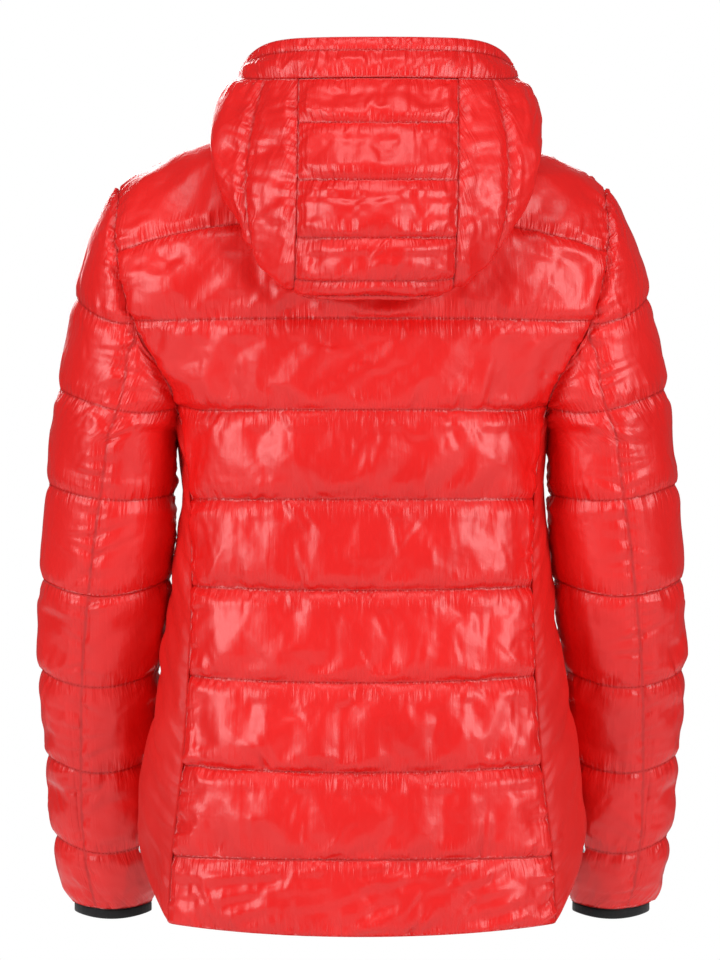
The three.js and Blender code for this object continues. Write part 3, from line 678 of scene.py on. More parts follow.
def finish_quilt(quilt, cloth, stitched=True, crinkle=1.0):
    """The finished mesh of a panel: creased outer cloth, a plain inner face, the edge and the stitches."""
    rows, columns = quilt.shape.shape[:2]
    up_rows = finer(rows, quilt.seams)
    up_columns = finer(columns, quilt.columns)

    def fine(grid):
        return np.einsum("ai,ijk,bj->abk", up_rows, grid, up_columns, optimize=True)

    p = fine(quilt.shape)
    inward = unit(fine(quilt.inward))
    flat = fine(quilt.surface)
    s = run_along(flat, 1)
    s = s - s[:, [s.shape[1] // 2]] + s[:, s.shape[1] // 2].mean()
    s = s - s.min()
    t = run_along(flat, 0)
    breaks = [k * FINER for k in quilt.seams]
    side_breaks = [k * FINER for k in quilt.columns]
    from_row = nearest(t, breaks, 0)
    from_side = nearest(s, side_breaks, 1)
    calm = smooth(np.minimum(from_row, from_side) / 3 + 0.15)
    normal = outward_normals(p, inward)
    height = puckers(quilt, s, t, breaks, side_breaks) * crinkle * calm
    p = p + normal * height[..., None]

    fine_rows, fine_columns = p.shape[:2]
    outer = p.reshape(-1, 3)
    inner = quilt.back.reshape(-1, 3)
    flip = faces_inward(quilt)
    offset = len(outer)
    faces = grid_faces(fine_rows, fine_columns, flip=flip).tolist()
    faces += grid_faces(rows, columns, offset, flip=not flip).tolist()
    faces += rim(rows, columns, offset, flip)
    points = [outer, inner]
    body_faces = len(faces)
    total = offset + len(inner)
    normal = outward_normals(p, inward)
    for k in quilt.seams[1:-1] if stitched else []:
        spindles, index = thread_points(p[k * FINER], normal[k * FINER])
        points.append(spindles)
        faces += (index + total).tolist()
        total += len(spindles)
    mesh = bpy.data.meshes.new(quilt.name)
    mesh.from_pydata(metres(np.concatenate(points)).tolist(), [], faces)
    mesh.materials.append(cloth)
    mesh.materials.append(THREAD)
    index = np.zeros(len(faces), np.int32)
    index[body_faces:] = 1
    mesh.polygons.foreach_set("material_index", index)
    cut = np.zeros((total, 2))
    seam = np.zeros((total, 2))
    cut[:offset] = np.stack([s.ravel(), t.ravel()], axis=1) / 1000
    seam[:offset] = np.stack([np.minimum(from_row, from_side).ravel(), s.ravel()], axis=1) / 1000
    add_map(mesh, "cut", cut)
    add_map(mesh, "seam", seam)
    mesh.polygons.foreach_set("use_smooth", np.ones(len(faces), bool))
    mesh.update()
    piece = bpy.data.objects.new(quilt.name, mesh)
    bpy.context.scene.collection.objects.link(piece)
    return piece


def rim(rows, columns, offset, flip):
    """The edge walls between the fine outer grid and the plain inner one."""
    wide = (columns - 1) * FINER + 1
    walls = []

    def wall(inner_a, inner_b, outer_run):
        face = [inner_b + offset, inner_a + offset, *outer_run]
        walls.append(face[::-1] if flip else face)

    for j in range(columns - 1):
        low = [j * FINER + k for k in range(FINER + 1)]
        wall(j, j + 1, low)
        top = (rows - 1) * FINER * wide
        wall((rows - 1) * columns + j + 1, (rows - 1) * columns + j, [top + k for k in low[::-1]])
    for i in range(rows - 1):
        left = [(i * FINER + k) * wide for k in range(FINER + 1)]
        wall((i + 1) * columns, i * columns, left[::-1])
        right = [k + wide - 1 for k in left]
        wall((i + 1) * columns - 1, (i + 2) * columns - 1, right)
    return walls


def add_map(mesh, name, values):
    """A map for the finish, in metres: "cut" is the place on the cut cloth, and "seam" the distance from the
    nearest seam and the place along it."""
    loops = np.zeros(len(mesh.loops), np.int32)
    mesh.loops.foreach_get("vertex_index", loops)
    mesh.uv_layers.new(name=name).data.foreach_set("uv", values[loops].astype(np.float32).ravel())


# ---------- finishes ----------
def linear(hex_colour):
    """An sRGB hex colour as the linear RGBA that a shader takes."""
    parts = [int(hex_colour[k:k + 2], 16) / 255 for k in (1, 3, 5)]
    return (*[c / 12.92 if c <= 0.04045 else ((c + 0.055) / 1.055) ** 2.4 for c in parts], 1.0)


def node(tree, kind, settings=None, values=None, links=None, stops=()):
    """Add one node, with its settings, sockets' values, the sockets that feed it and any colour stops."""
    made = tree.nodes.new("ShaderNode" + kind)
    for key, value in (settings or {}).items():
        setattr(made, key, value)
    for key, value in (values or {}).items():
        made.inputs[key].default_value = value
    for key, socket in (links or {}).items():
        tree.links.new(socket, made.inputs[key])
    for element, (place, colour) in zip(made.color_ramp.elements if stops else (), stops):
        element.position = place
        element.color = linear(colour)
    return made


def new_material(name):
    material = bpy.data.materials.new(name)
    material.use_nodes = True
    material.node_tree.nodes.clear()
    return material, material.node_tree


def weave(tree, place, ways, scale, distortion):
    """Crossing threads: the product of two sets of ridges."""
    threads = [node(tree, "TexWave", {"bands_direction": way}, {"Scale": scale, "Distortion": distortion},
                    {"Vector": place}) for way in ways]
    return node(tree, "Math", {"operation": "MULTIPLY"},
                links={k: made.outputs["Fac"] for k, made in enumerate(threads)}).outputs["Value"]


def downproof_nylon():
    """Downproof nylon taffeta, calendered on its face: fine close weave with a glossy, crisp, slightly
    creased skin, so that every small crease carries its own sharp streak of light."""
    material, tree = new_material("downproof_nylon")
    cut = node(tree, "UVMap", {"uv_map": "cut"}).outputs["UV"]
    seam = node(tree, "UVMap", {"uv_map": "seam"}).outputs["UV"]
    from_seam = node(tree, "SeparateXYZ", links={"Vector": seam})
    place = node(tree, "TexCoord").outputs["Object"]

    # Colour: the red shifts a little from place to place, and carries painted shade along each seam, darkest
    # at the needle line where the crease is deepest.
    drift = node(tree, "TexNoise", values={"Scale": 9.0, "Detail": 2.0}, links={"Vector": place})
    dye_and_shade = node(tree, "ValToRGB", links={"Fac": drift.outputs["Fac"]},
               stops=[(0.3, "#E20F0C"), (0.7, "#EE1714")])
    # Painted shade of the seam's crease: darkest at the needle line, fading out 2.4 mm from it.
    line = node(tree, "MapRange",
                {"interpolation_type": "SMOOTHSTEP"},
                {"From Min": 0.0003, "From Max": 0.0024, "To Min": 0.42, "To Max": 0.0},
                {"Value": from_seam.outputs["X"]})
    colour = node(tree, "Mix", {"data_type": "RGBA"}, {7: linear("#A80C0B")},
                  {0: line.outputs["Result"], 6: dye_and_shade.outputs["Color"]})

    # Gathers: creases about 4 mm apart run out 15 to 20 mm from each seam.
    gather_place = node(tree, "Mapping", values={"Scale": (30.0, 260.0, 1.0)}, links={"Vector": seam})
    gather = node(tree, "TexNoise", {"noise_dimensions": "2D"},
                  {"Scale": 1.0, "Detail": 2.0, "Distortion": 0.35},
                  {"Vector": gather_place.outputs["Vector"]})
    fade = node(tree, "MapRange",
                {"interpolation_type": "SMOOTHSTEP"},
                {"From Min": 0.001, "From Max": 0.022, "To Min": 1.0, "To Max": 0.12},
                {"Value": from_seam.outputs["X"]})
    gathered = node(tree, "Math", {"operation": "MULTIPLY"},
                    links={0: gather.outputs["Fac"], 1: fade.outputs["Result"]})
    gather_bump = node(tree, "Bump", values={"Strength": 0.7, "Distance": 0.002},
                       links={"Height": gathered.outputs["Value"]})

    # Crushed skin: short irregular creases 6 to 12 mm long.
    crushed = node(tree, "TexVoronoi", {"feature": "SMOOTH_F1", "voronoi_dimensions": "3D"},
                   {"Scale": 105.0, "Smoothness": 0.55, "Randomness": 1.0}, {"Vector": place})
    crush_bump = node(tree, "Bump", values={"Strength": 0.3, "Distance": 0.0014},
                      links={"Height": crushed.outputs["Distance"], "Normal": gather_bump.outputs["Normal"]})
    soft = node(tree, "TexNoise", values={"Scale": 160.0, "Detail": 3.0, "Roughness": 0.6},
                links={"Vector": place})
    soft_bump = node(tree, "Bump", values={"Strength": 0.22, "Distance": 0.001},
                     links={"Height": soft.outputs["Fac"], "Normal": crush_bump.outputs["Normal"]})

    # Weave: real threads are about 0.15 mm apart, too fine to show, so they are drawn at 0.9 mm.
    threads = weave(tree, cut, "XY", 350.0, 0.4)
    weave_bump = node(tree, "Bump", values={"Strength": 0.05, "Distance": 0.0002},
                      links={"Height": threads, "Normal": soft_bump.outputs["Normal"]})
    worn = node(tree, "MapRange", values={"To Min": 0.34, "To Max": 0.45},
                links={"Value": drift.outputs["Fac"]})
    shader = node(tree, "BsdfPrincipled",
                  values={"IOR": 1.53, "Specular IOR Level": 0.5, "Coat Weight": 0.14, "Coat Roughness": 0.15,
                          "Coat IOR": 1.45},
                  links={"Base Color": colour.outputs[2], "Roughness": worn.outputs["Result"],
                         "Normal": weave_bump.outputs["Normal"]})
    node(tree, "OutputMaterial", links={"Surface": shader.outputs["BSDF"]})
    return material


def stretch_knit():
    """Warp-knitted polyester with elastane, heat set: satin, with fine upright wales and a slight bloom."""
    material, tree = new_material("stretch_knit")
    cut = node(tree, "UVMap", {"uv_map": "cut"}).outputs["UV"]
    place = node(tree, "TexCoord").outputs["Object"]
    drift = node(tree, "TexNoise", values={"Scale": 14.0, "Detail": 3.0}, links={"Vector": place})
    dye_and_shade = node(tree, "ValToRGB", links={"Fac": drift.outputs["Fac"]},
               stops=[(0.3, "#D91512"), (0.7, "#E51B17")])
    # Wales are about 0.5 mm apart, drawn at 1.1 mm so that they show.
    wales = node(tree, "TexWave", {"bands_direction": "X"}, {"Scale": 290.0, "Distortion": 0.6},
                 {"Vector": cut})
    knit_bump = node(tree, "Bump", values={"Strength": 0.25, "Distance": 0.0003},
                     links={"Height": wales.outputs["Fac"]})
    fuzz = node(tree, "TexNoise", values={"Scale": 900.0, "Detail": 2.0}, links={"Vector": place})
    fuzz_bump = node(tree, "Bump", values={"Strength": 0.2, "Distance": 0.0003},
                     links={"Height": fuzz.outputs["Fac"], "Normal": knit_bump.outputs["Normal"]})
    shader = node(tree, "BsdfPrincipled",
                  values={"Roughness": 0.48, "IOR": 1.5, "Specular IOR Level": 0.45, "Sheen Weight": 0.06,
                          "Sheen Roughness": 0.5, "Sheen Tint": linear("#FF6A60")},
                  links={"Base Color": dye_and_shade.outputs["Color"], "Normal": fuzz_bump.outputs["Normal"]})
    node(tree, "OutputMaterial", links={"Surface": shader.outputs["BSDF"]})
    return material


def woven_cloth(name, dark, light, roughness, pitch_mm, strength, sheen):
    """Plain woven polyester, dyed: a fine square grid of threads, with painted light on each thread's crown
    and painted shade between threads.
    """
    material, tree = new_material(name)
    place = node(tree, "TexCoord").outputs["Object"]
    turns = 1000 * math.pi / (10 * pitch_mm)
    threads = weave(tree, place, "XZ", turns, 0.5)
    # Painted light and shade: the ramp runs from the shaded colour between threads to the lit colour on their
    # crowns.
    dye_and_shade = node(tree, "ValToRGB", links={"Fac": threads},
               stops=[(0.1, dark), (0.9, light)])
    bump = node(tree, "Bump", values={"Strength": strength, "Distance": 0.0003}, links={"Height": threads})
    shader = node(tree, "BsdfPrincipled",
                  values={"Roughness": roughness, "IOR": 1.5, "Sheen Weight": sheen},
                  links={"Base Color": dye_and_shade.outputs["Color"], "Normal": bump.outputs["Normal"]})
    node(tree, "OutputMaterial", links={"Surface": shader.outputs["BSDF"]})
    return material


def spun_thread():
    """Spun polyester sewing thread: matt and slightly hairy, a shade darker than the cloth it closes."""
    material, tree = new_material("spun_thread")
    place = node(tree, "TexCoord").outputs["Object"]
    # One turn of the twist is about 0.8 mm. The plies are drawn as painted light and shade: lighter bands on
    # their crowns, darker bands in the grooves between them.
    twist = node(tree, "TexWave", {"bands_direction": "DIAGONAL"}, {"Scale": 800.0}, {"Vector": place})
    dye_and_shade = node(tree, "ValToRGB", links={"Fac": twist.outputs["Fac"]},
               stops=[(0.2, "#B00E0D"), (0.8, "#D21714")])
    shader = node(tree, "BsdfPrincipled", values={"Roughness": 0.7, "Specular IOR Level": 0.15},
                  links={"Base Color": dye_and_shade.outputs["Color"]})
    node(tree, "OutputMaterial", links={"Surface": shader.outputs["BSDF"]})
    return material


def moulded_acetal():
    """Acetal, injection moulded: dense black plastic with a satin, faintly pebbled skin."""
    material, tree = new_material("moulded_acetal")
    place = node(tree, "TexCoord").outputs["Object"]
    # The pebbling is about 0.6 mm across, drawn a little coarser than it is.
    skin = node(tree, "TexNoise", values={"Scale": 1600.0, "Detail": 2.0}, links={"Vector": place})
    tone = node(tree, "ValToRGB", links={"Fac": skin.outputs["Fac"]},
                stops=[(0.3, "#141416"), (0.7, "#222226")])
    bump = node(tree, "Bump", values={"Strength": 0.15, "Distance": 0.0002},
                links={"Height": skin.outputs["Fac"]})
    shader = node(tree, "BsdfPrincipled", values={"Roughness": 0.38, "IOR": 1.48},
                  links={"Base Color": tone.outputs["Color"], "Normal": bump.outputs["Normal"]})
    node(tree, "OutputMaterial", links={"Surface": shader.outputs["BSDF"]})
    return material


def nickel_plate():
    """Zinc alloy, die cast, tumbled and nickel plated: bright grey metal with soft fine scratches."""
    material, tree = new_material("nickel_plate")
    place = node(tree, "TexCoord").outputs["Object"]
    # Scratches are about 0.4 mm apart and 3 mm long, drawn coarser than they are so that they show.
    scratch_place = node(tree, "Mapping", values={"Scale": (2600.0, 2600.0, 300.0)},
                         links={"Vector": place})
    scratch = node(tree, "TexNoise", values={"Scale": 1.0, "Detail": 3.0},
                   links={"Vector": scratch_place.outputs["Vector"]})
    tone = node(tree, "ValToRGB", links={"Fac": scratch.outputs["Fac"]},
                stops=[(0.3, "#A9ACB0"), (0.7, "#C9CBCE")])
    worn = node(tree, "MapRange", values={"To Min": 0.22, "To Max": 0.42},
                links={"Value": scratch.outputs["Fac"]})
    bump = node(tree, "Bump", values={"Strength": 0.08, "Distance": 0.0001},
                links={"Height": scratch.outputs["Fac"]})
    shader = node(tree, "BsdfPrincipled", values={"Metallic": 1.0},
                  links={"Base Color": tone.outputs["Color"], "Roughness": worn.outputs["Result"],
                         "Normal": bump.outputs["Normal"]})
    node(tree, "OutputMaterial", links={"Surface": shader.outputs["BSDF"]})
    return material


NYLON = downproof_nylon()
KNIT = stretch_knit()
THREAD = spun_thread()
ACETAL = moulded_acetal()
NICKEL = nickel_plate()
LINING = woven_cloth("lining_taffeta", "#141417", "#26262B", 0.42, 0.8, 0.12, 0.1)
RIBBING = woven_cloth("ribbed_elastic", "#0C0C0E", "#1F1F23", 0.85, 1.2, 0.5, 0.3)
TAPE = woven_cloth("zip_tape_weave", "#0D0D0F", "#202024", 0.8, 0.9, 0.4, 0.2)


# ---------- panels ----------
def plain(surface_of):
    """Let a function of a point give the inward direction for a grid."""
    return lambda u, v, p: surface_of(p)


BACK_ROWS = [66.48, 141, 218, 297.5, 376, 453, 531.5, 589.6, 699.4]
FRONT_ROWS = [HEM_FRONT, 86, 150, 228, 300, 376, 453, 531.5, 589.6, 699.4]
UNDERARM_PROUD = 4.0  # how far the side panel fills out towards the arm, mm
EDGE = 0.9998  # share of the half width at which a panel ends, leaving the seam


def back_surface(u, v):
    return body_point(1, u, v)


def front_surface(side):
    def at(u, v):
        start = (ZIP["gap_half"] + 0.4) / body_edge(-1, v)[1]
        return body_point(-1, side * mix(start, EDGE, u), v)
    return at


def panel_quilt(name, surface, inward, row, low, high, seams, middle, step=COARSE, **more):
    us = spaced(surface, row, low, high, step)
    vs, places = rows_between(surface, middle, seams, step)
    return Quilt(name, surface, inward, us, vs, places, **more)


def side_surface(side, q, f):
    proud = UNDERARM_PROUD * np.sin(math.pi * q) * smooth((f - 0.3) / 0.3)
    return side_point(side, q, f) + stack(side * proud, 0, 0)


def body_quilts():
    inward = plain(body_inward)
    made = [panel_quilt("back_quilting", back_surface, inward, 300, -EDGE, EDGE, BACK_ROWS, 0.0, seed=11,
                        armhole=True, ends=(4.0, RIDGE_SINK), sides=SIDE_SINK)]
    made.append(panel_quilt("back_hem_casing", back_surface, inward, 30, -EDGE, EDGE, [0, 66.42], 0.0,
                            depth=6, sink=4.0, swell=-0.02, puckers=2.2, drawn=0.75, seed=12, ends=(1.5, 4.0),
                            sides=SIDE_SINK))
    for hand, side in SIDES.items():
        surface = front_surface(side)
        made.append(panel_quilt(f"{hand}_front_quilting", surface, inward, 300, 0.0, 1.0, FRONT_ROWS, 0.3,
                                seed=13 + side, armhole=True, ends=(1.5, RIDGE_SINK), sides=SIDE_SINK))
        made.append(panel_quilt(f"{hand}_side_gusset", partial(side_surface, side), inward, 0.5, 0.0003,
                                0.9997, [0.0, 0.997], 0.5, depth=6.2, sink=SIDE_SINK, swell=-0.02,
                                seed=17 + side, ends=(1.5, 0.0)))
    made.append(panel_quilt("collar_quilting", collar_point, collar_inward, 0.5,
                            -COLLAR_END, COLLAR_END, [0.0, 0.5, 1.0], 0.0, step=6.0, depth=COLLAR["fill"],
                            sink=3.0, swell=-0.02, seed=21))
    return made


UPPER_ROWS = [ELBOW + 0.04, 389, 472, 553, 650]
LOWER_ROWS = [CUFF + 0.8, 74, 147, 224, ELBOW - 0.04]
ARM_ROUND = 350  # distance round the sleeve, mm
ARM_FRONT = 0.38  # share of the way round at which the spacing of its rows is worked out
ARM_SINK = 3.4  # how deep a sleeve's quilting seam is drawn in, mm


def sleeve_quilt(name, side, rows, seed, **more):
    surface = partial(sleeve_point, side)
    front = round(BACK_SEAM_U * ARM_ROUND / COARSE)
    behind = round((1 - BACK_SEAM_U) * ARM_ROUND / COARSE)
    us = np.concatenate([np.linspace(0.0005, BACK_SEAM_U, front + 1),
                         np.linspace(BACK_SEAM_U, 0.9995, behind + 1)[1:]])
    vs, places = rows_between(surface, ARM_FRONT, rows, COARSE)
    return Quilt(name, surface, plain(partial(sleeve_inward, side)), us, vs, places, columns=[front],
                 seed=seed, depth=ARM_DEPTH, sink=ARM_SINK, swell=-0.022, **more)


def sleeve_quilts():
    made = []
    for hand, side in SIDES.items():
        made.append(sleeve_quilt(f"{hand}_upper_sleeve_quilting", side, UPPER_ROWS, 31 + side, armhole=True,
                                 sides=SIDE_SINK, ends=(ARM_SINK, RIDGE_SINK)))
        made.append(sleeve_quilt(f"{hand}_forearm_quilting", side, LOWER_ROWS, 35 + side,
                                 ends=(1.5, ARM_SINK)))
    return made


HOOD_ROWS = [BRIM + 0.0004, 0.3, 0.45, 0.6, 0.71, 0.8, 0.9, 1.0]
HOOD_STEP = 6.0
HOOD_GAP = 0.02  # half the gap at a seam between the hood's panels, degrees
HOOD_DOME = 0.22  # where the cheek's quilting seam runs, as a share of the way round from the centre panel


def hood_centre(u, v):
    return hood_point(u * (hood_seam(v) - HOOD_GAP), v)


def hood_centre_inward(u, v, p):
    return hood_inward(u * hood_seam(v), v)


def hood_flank(side, u, v):
    return hood_point(side * mix(hood_seam(v) + HOOD_GAP, HOOD_REACH, u), v)


def hood_flank_inward(side, u, v, p):
    return hood_inward(side * mix(hood_seam(v), HOOD_REACH, u), v)


def hood_quilts():
    made = [panel_quilt("hood_centre_quilting", hood_centre, hood_centre_inward, 0.5, -1.0, 1.0, HOOD_ROWS,
                        0.0, seed=41, step=HOOD_STEP, depth=HOOD_DEPTH, sink=4.2, sides=3.2, swell=-0.05)]
    for hand, side in SIDES.items():
        flank = partial(hood_flank, side)
        us = spaced(flank, 0.5, 0.0, 1.0, HOOD_STEP)
        vs, places = rows_between(flank, 0.25, [BRIM + 0.0004, 0.8, 1.0], HOOD_STEP)
        dome = int(np.argmin(np.abs(us - HOOD_DOME)))
        made.append(Quilt(f"hood_{hand}_quilting", flank, partial(hood_flank_inward, side), us, vs, places,
                          columns=[dome], depth=HOOD_DEPTH, sink=3.2, swell=-0.03, puckers=1.2,
                          seed=43 + side))
    made.append(panel_quilt("hood_brim_casing", hood_point, hood_inward, 0.1, -HOOD_REACH, HOOD_REACH,
                            [0.0, 0.05, BRIM], 0.0, step=5.0, depth=8.5, sink=3.2, swell=-0.02, seed=47))
    return made


quilts = body_quilts() + sleeve_quilts() + hood_quilts()
inflate(quilts)
for quilt in quilts:
    let_sag(quilt)
by_name = {quilt.name: quilt for quilt in quilts}
REPLACED = {
    "back_quilting": ["back_panel", "back_fill"],
    "back_hem_casing": ["back_hem_band"],
    "collar_quilting": ["collar_shell"],
    "hood_centre_quilting": ["hood_centre_panel", "hood_fill"],
    "hood_brim_casing": ["hood_brim"],
}
for hand in SIDES:
    REPLACED[f"{hand}_front_quilting"] = [f"{hand}_front_panel", f"{hand}_front_fill"]
    REPLACED[f"{hand}_side_gusset"] = [f"{hand}_side_panel"]
    for part in ("upper_sleeve", "forearm"):
        REPLACED[f"{hand}_{part}_quilting"] = [f"{hand}_{part}_{layer}"
                                               for layer in ("panel", "back_panel", "fill")]
    REPLACED[f"hood_{hand}_quilting"] = [f"hood_{hand}_panel"]


def shoulder_blend(piece):
    """Bake the sleeve piece's placement into its mesh; it is joined to no body here."""
    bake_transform(piece)


def elbow_blend(piece):
    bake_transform(piece)


NAPE = {"reach": 92, "tall": 11.0, "way": np.array([0, 0.312, 0.95]), "out": 2.5}


def nape_point(angle, up):
    """The cloth that closes the nape under the hood. It is folded small."""
    foot = collar_point(angle, np.zeros_like(up)) - collar_inward(angle, up) * NAPE["out"]
    return foot + up[..., None] * NAPE["way"]


def nape_blend(piece):
    foot = nape_point(np.array(0.0), np.array(0.0))
    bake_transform(piece)


def place_piece(piece, name):
    """Join a piece to the body it moves with; the sleeve pieces only have their placement baked into their
    meshes.
    """
    hand = name.split("_")[0]
    if "upper_sleeve" in name:
        shoulder_blend(piece)
    elif "forearm" in name:
        elbow_blend(piece)
    elif "cuff" in name:
        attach(piece, f"{hand}_lower_sleeve")
    elif name.startswith("hood"):
        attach(piece, "hood")
    else:
        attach(piece, "jacket")


# Parts with lower creases than the body's.
CALMER = {"gusset": 0.6, "hood": 0.6, "sleeve": 0.85, "forearm": 0.85}

for name, nodes in REPLACED.items():
    gusset = name.endswith("side_gusset")
    cloth = KNIT if gusset else NYLON
    crinkle = next((less for part, less in CALMER.items() if part in name), 1.0)
    piece = finish_quilt(by_name[name], cloth, crinkle=crinkle)
    place_piece(piece, name)
    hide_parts(*nodes)


# ---------- small solid pieces ----------
def make_piece(name, points, faces, cloth, body, replaced=(), soft=True):
    mesh = bpy.data.meshes.new(name)
    mesh.from_pydata(metres(points).tolist(), [], [list(map(int, f)) for f in faces])
    mesh.materials.append(cloth)
    mesh.polygons.foreach_set("use_smooth", np.full(len(mesh.polygons), soft))
    run = np.linalg.norm(points - points[0], axis=1) / 1000
    add_map(mesh, "cut", np.stack([run, run], axis=1))
    mesh.update()
    piece = bpy.data.objects.new(name, mesh)
    bpy.context.scene.collection.objects.link(piece)
    if body:
        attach(piece, body)
    if replaced:
        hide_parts(*replaced)
    return piece


def sweep(path, across, out, profile, closed=False):
    """A bar of constant section along a path. The profile's points are (across, out) pairs in mm, and across
    and out are one direction each, or one for every point of the path."""
    path, profile = np.asarray(path, float), np.asarray(profile, float)
    across, out = (np.broadcast_to(np.asarray(a, float), path.shape) for a in (across, out))
    count, corners = len(path), len(profile)
    points = path[:, None] + across[:, None] * profile[None, :, :1] + out[:, None] * profile[None, :, 1:]
    faces = []
    for i in range(count if closed else count - 1):
        a, b = i * corners, (i + 1) % count * corners
        for j in range(corners):
            k = (j + 1) % corners
            faces.append((a + j, a + k, b + k, b + j))
    if not closed:
        faces.append(tuple(range(corners))[::-1])
        faces.append(tuple((count - 1) * corners + j for j in range(corners)))
    return points.reshape(-1, 3), faces


def rounded(half_wide, low, high, corner):
    """A bar's section: a rectangle with cut and rounded corners, as (across, out) pairs."""
    c, d = corner, corner * 0.3
    right = [(half_wide - c, low), (half_wide - d, low + d), (half_wide, low + c), (half_wide, high - c),
             (half_wide - d, high - d), (half_wide - c, high)]
    return right + [(-x, y) for x, y in right[::-1]]


def repeated(points, faces, places):
    """One small shape at many places, as a single mesh's points and faces."""
    shape = np.asarray(points, float)
    everywhere = (shape[None] + np.asarray(places, float)[:, None]).reshape(-1, 3)
    every_face = [tuple(k + len(shape) * i for k in f) for i in range(len(places)) for f in faces]
    return everywhere, every_face


def prism(outline, near, far, inset):
    """An outline in X and Z given a depth along Y, its two faces drawn in a little as moulded parts are."""
    edge = 0.25
    outline = np.array(outline, float)
    small = outline * (1 - inset) + outline.mean(0) * inset
    count = len(outline)
    layers = [(small, near), (outline, near + edge), (outline, far - edge), (small, far)]
    points = np.concatenate([np.stack([o[:, 0], np.full(count, y), o[:, 1]], axis=1) for o, y in layers])
    faces = [tuple(range(count)), tuple(3 * count + k for k in range(count))[::-1]]
    for layer in range(3):
        for k in range(count):
            a, b = layer * count + k, layer * count + (k + 1) % count
            faces.append((b, a, a + count, b + count))
    return points, faces


def tooth(side):
    """One moulded tooth: a narrow head that locks between its neighbours, and a broad foot on the tape."""
    head = [(0.2, -0.35), (0.9, -0.62), (1.5, -0.45), (2.1, -0.95), (3.5, -0.95), (3.5, 0.95), (2.1, 0.95),
            (1.5, 0.45), (0.9, 0.62), (0.2, 0.35)]
    outline = [(side * x, z) for x, z in (head if side > 0 else head[::-1])]
    return prism(outline, -1.3, 1.3, 0.12)


# ---------- zips ----------
TOOTH_PITCH = 3.3  # between neighbouring teeth of one row of a moulded zip, mm
COIL_PITCH = 2.0  # the same on the pocket zips, which are smaller
LEAN = math.atan2(ZIP["y_high"] - ZIP["y_low"], ZIP["high"] - ZIP["low"])


def on_zip(points):
    """From the main zip's own frame, whose Z runs up along its teeth."""
    x, y, z = np.moveaxis(np.asarray(points, float), -1, 0)
    turned_y = y * math.cos(LEAN) + z * math.sin(LEAN)
    turned_z = z * math.cos(LEAN) - y * math.sin(LEAN)
    return stack(x, turned_y + ZIP["y_low"], turned_z + ZIP["low"])


def straight(x, y, low, high, count):
    z = np.linspace(low, high, count)
    return stack(np.full(count, x), np.full(count, y), z)


def main_zip():
    first, last = 14, 626
    for hand, side in SIDES.items():
        heights = np.arange(first + (TOOTH_PITCH / 2 if side < 0 else 0), last, TOOTH_PITCH)
        places = [(0, ZIP["inset"], z) for z in heights]
        points, faces = repeated(*tooth(side), places)
        make_piece(f"zip_teeth_row_{hand}", on_zip(points), faces, ACETAL, "jacket",
                   [f"zip_teeth_{hand}"], soft=False)
        path = straight(side * 7.6, ZIP["inset"], 0, 640, 160)
        bead = [(-5.0, -0.95), (-4.1, -0.95), (-3.4, -0.4), (4.6, -0.4), (5.0, 0), (4.6, 0.4), (-3.4, 0.4),
                (-4.1, 0.95), (-5.0, 0.95)]
        section = [(side * a, b) for a, b in (bead if side > 0 else bead[::-1])]
        points, faces = sweep(path, (1, 0, 0), (0, -1, 0), section)
        make_piece(f"zip_tape_strip_{hand}", on_zip(points), faces, TAPE, "jacket",
                   [f"zip_tape_{hand}"])


POCKET = {"q": 0.8, "low": 0.025, "high": 0.4, "out": 5.2, "long": 150}


def pocket_frame(side):
    """The pocket zip's own frame: its lower end, and its directions across, inwards and up."""
    ends = []
    for f in (POCKET["low"], POCKET["high"]):
        p = side_point(side, np.array(POCKET["q"]), np.array(f))
        ends.append(p - body_inward(p) * POCKET["out"])
    up = unit(ends[1] - ends[0])
    inward = body_inward(ends[0])
    inward = unit(inward - up * (inward @ up))
    return ends[0], np.cross(inward, up), inward, up


def in_pocket(side, points):
    low, across, inward, up = pocket_frame(side)
    points = np.asarray(points, float)
    return low + points[..., :1] * across + points[..., 1:2] * inward + points[..., 2:] * up


def hand_pockets():
    for hand, side in SIDES.items():
        long = POCKET["long"]
        turn = np.linspace(0, 2 * math.pi, 97)[:-1]
        middle = long / 2 - 2
        path = stack(7.0 * np.clip(1.35 * np.cos(turn), -1, 1), 0 * turn,
                     middle + (long / 2 - 1.5) * np.sign(np.sin(turn)) * np.abs(np.sin(turn)) ** 0.5)
        ahead = np.roll(path, -1, axis=0) - np.roll(path, 1, axis=0)
        outward = unit(np.cross(ahead, np.array([0, 1.0, 0])))
        section = [(-1.9, 2.1), (-1.6, 0.8), (-0.6, 0.1), (0.6, 0.1), (1.7, 0.8), (2.0, 2.1), (0, 2.3)]
        points, faces = sweep(path, outward, (0, 1, 0), section, closed=True)
        make_piece(f"{hand}_pocket_piping", in_pocket(side, points), faces, KNIT, "jacket",
                   [f"{hand}_pocket_welt"])
        small = np.array([0.62, 0.5, 0.62])
        coil = []
        for way in (1, -1):
            shape, shape_faces = tooth(way)
            heights = np.arange(4 + (COIL_PITCH / 2 if way < 0 else 0), long - 7, COIL_PITCH)
            coil.append((shape * small, shape_faces, [(0, 1.1, z) for z in heights]))
        groups = [repeated(*c) for c in coil]
        points = np.concatenate([g[0] for g in groups])
        faces = groups[0][1] + [tuple(k + len(groups[0][0]) for k in f) for f in groups[1][1]]
        make_piece(f"{hand}_pocket_coil", in_pocket(side, points), faces, ACETAL, "jacket",
                   [f"{hand}_pocket_teeth"], soft=False)
        path = straight(0, 2.1, 1, long - 5, 40)
        points, faces = sweep(path, (1, 0, 0), (0, -1, 0), rounded(5.2, -0.3, 0.3, 0.2))
        make_piece(f"{hand}_pocket_tape_strip", in_pocket(side, points), faces, TAPE, "jacket",
                   [f"{hand}_pocket_tape"])


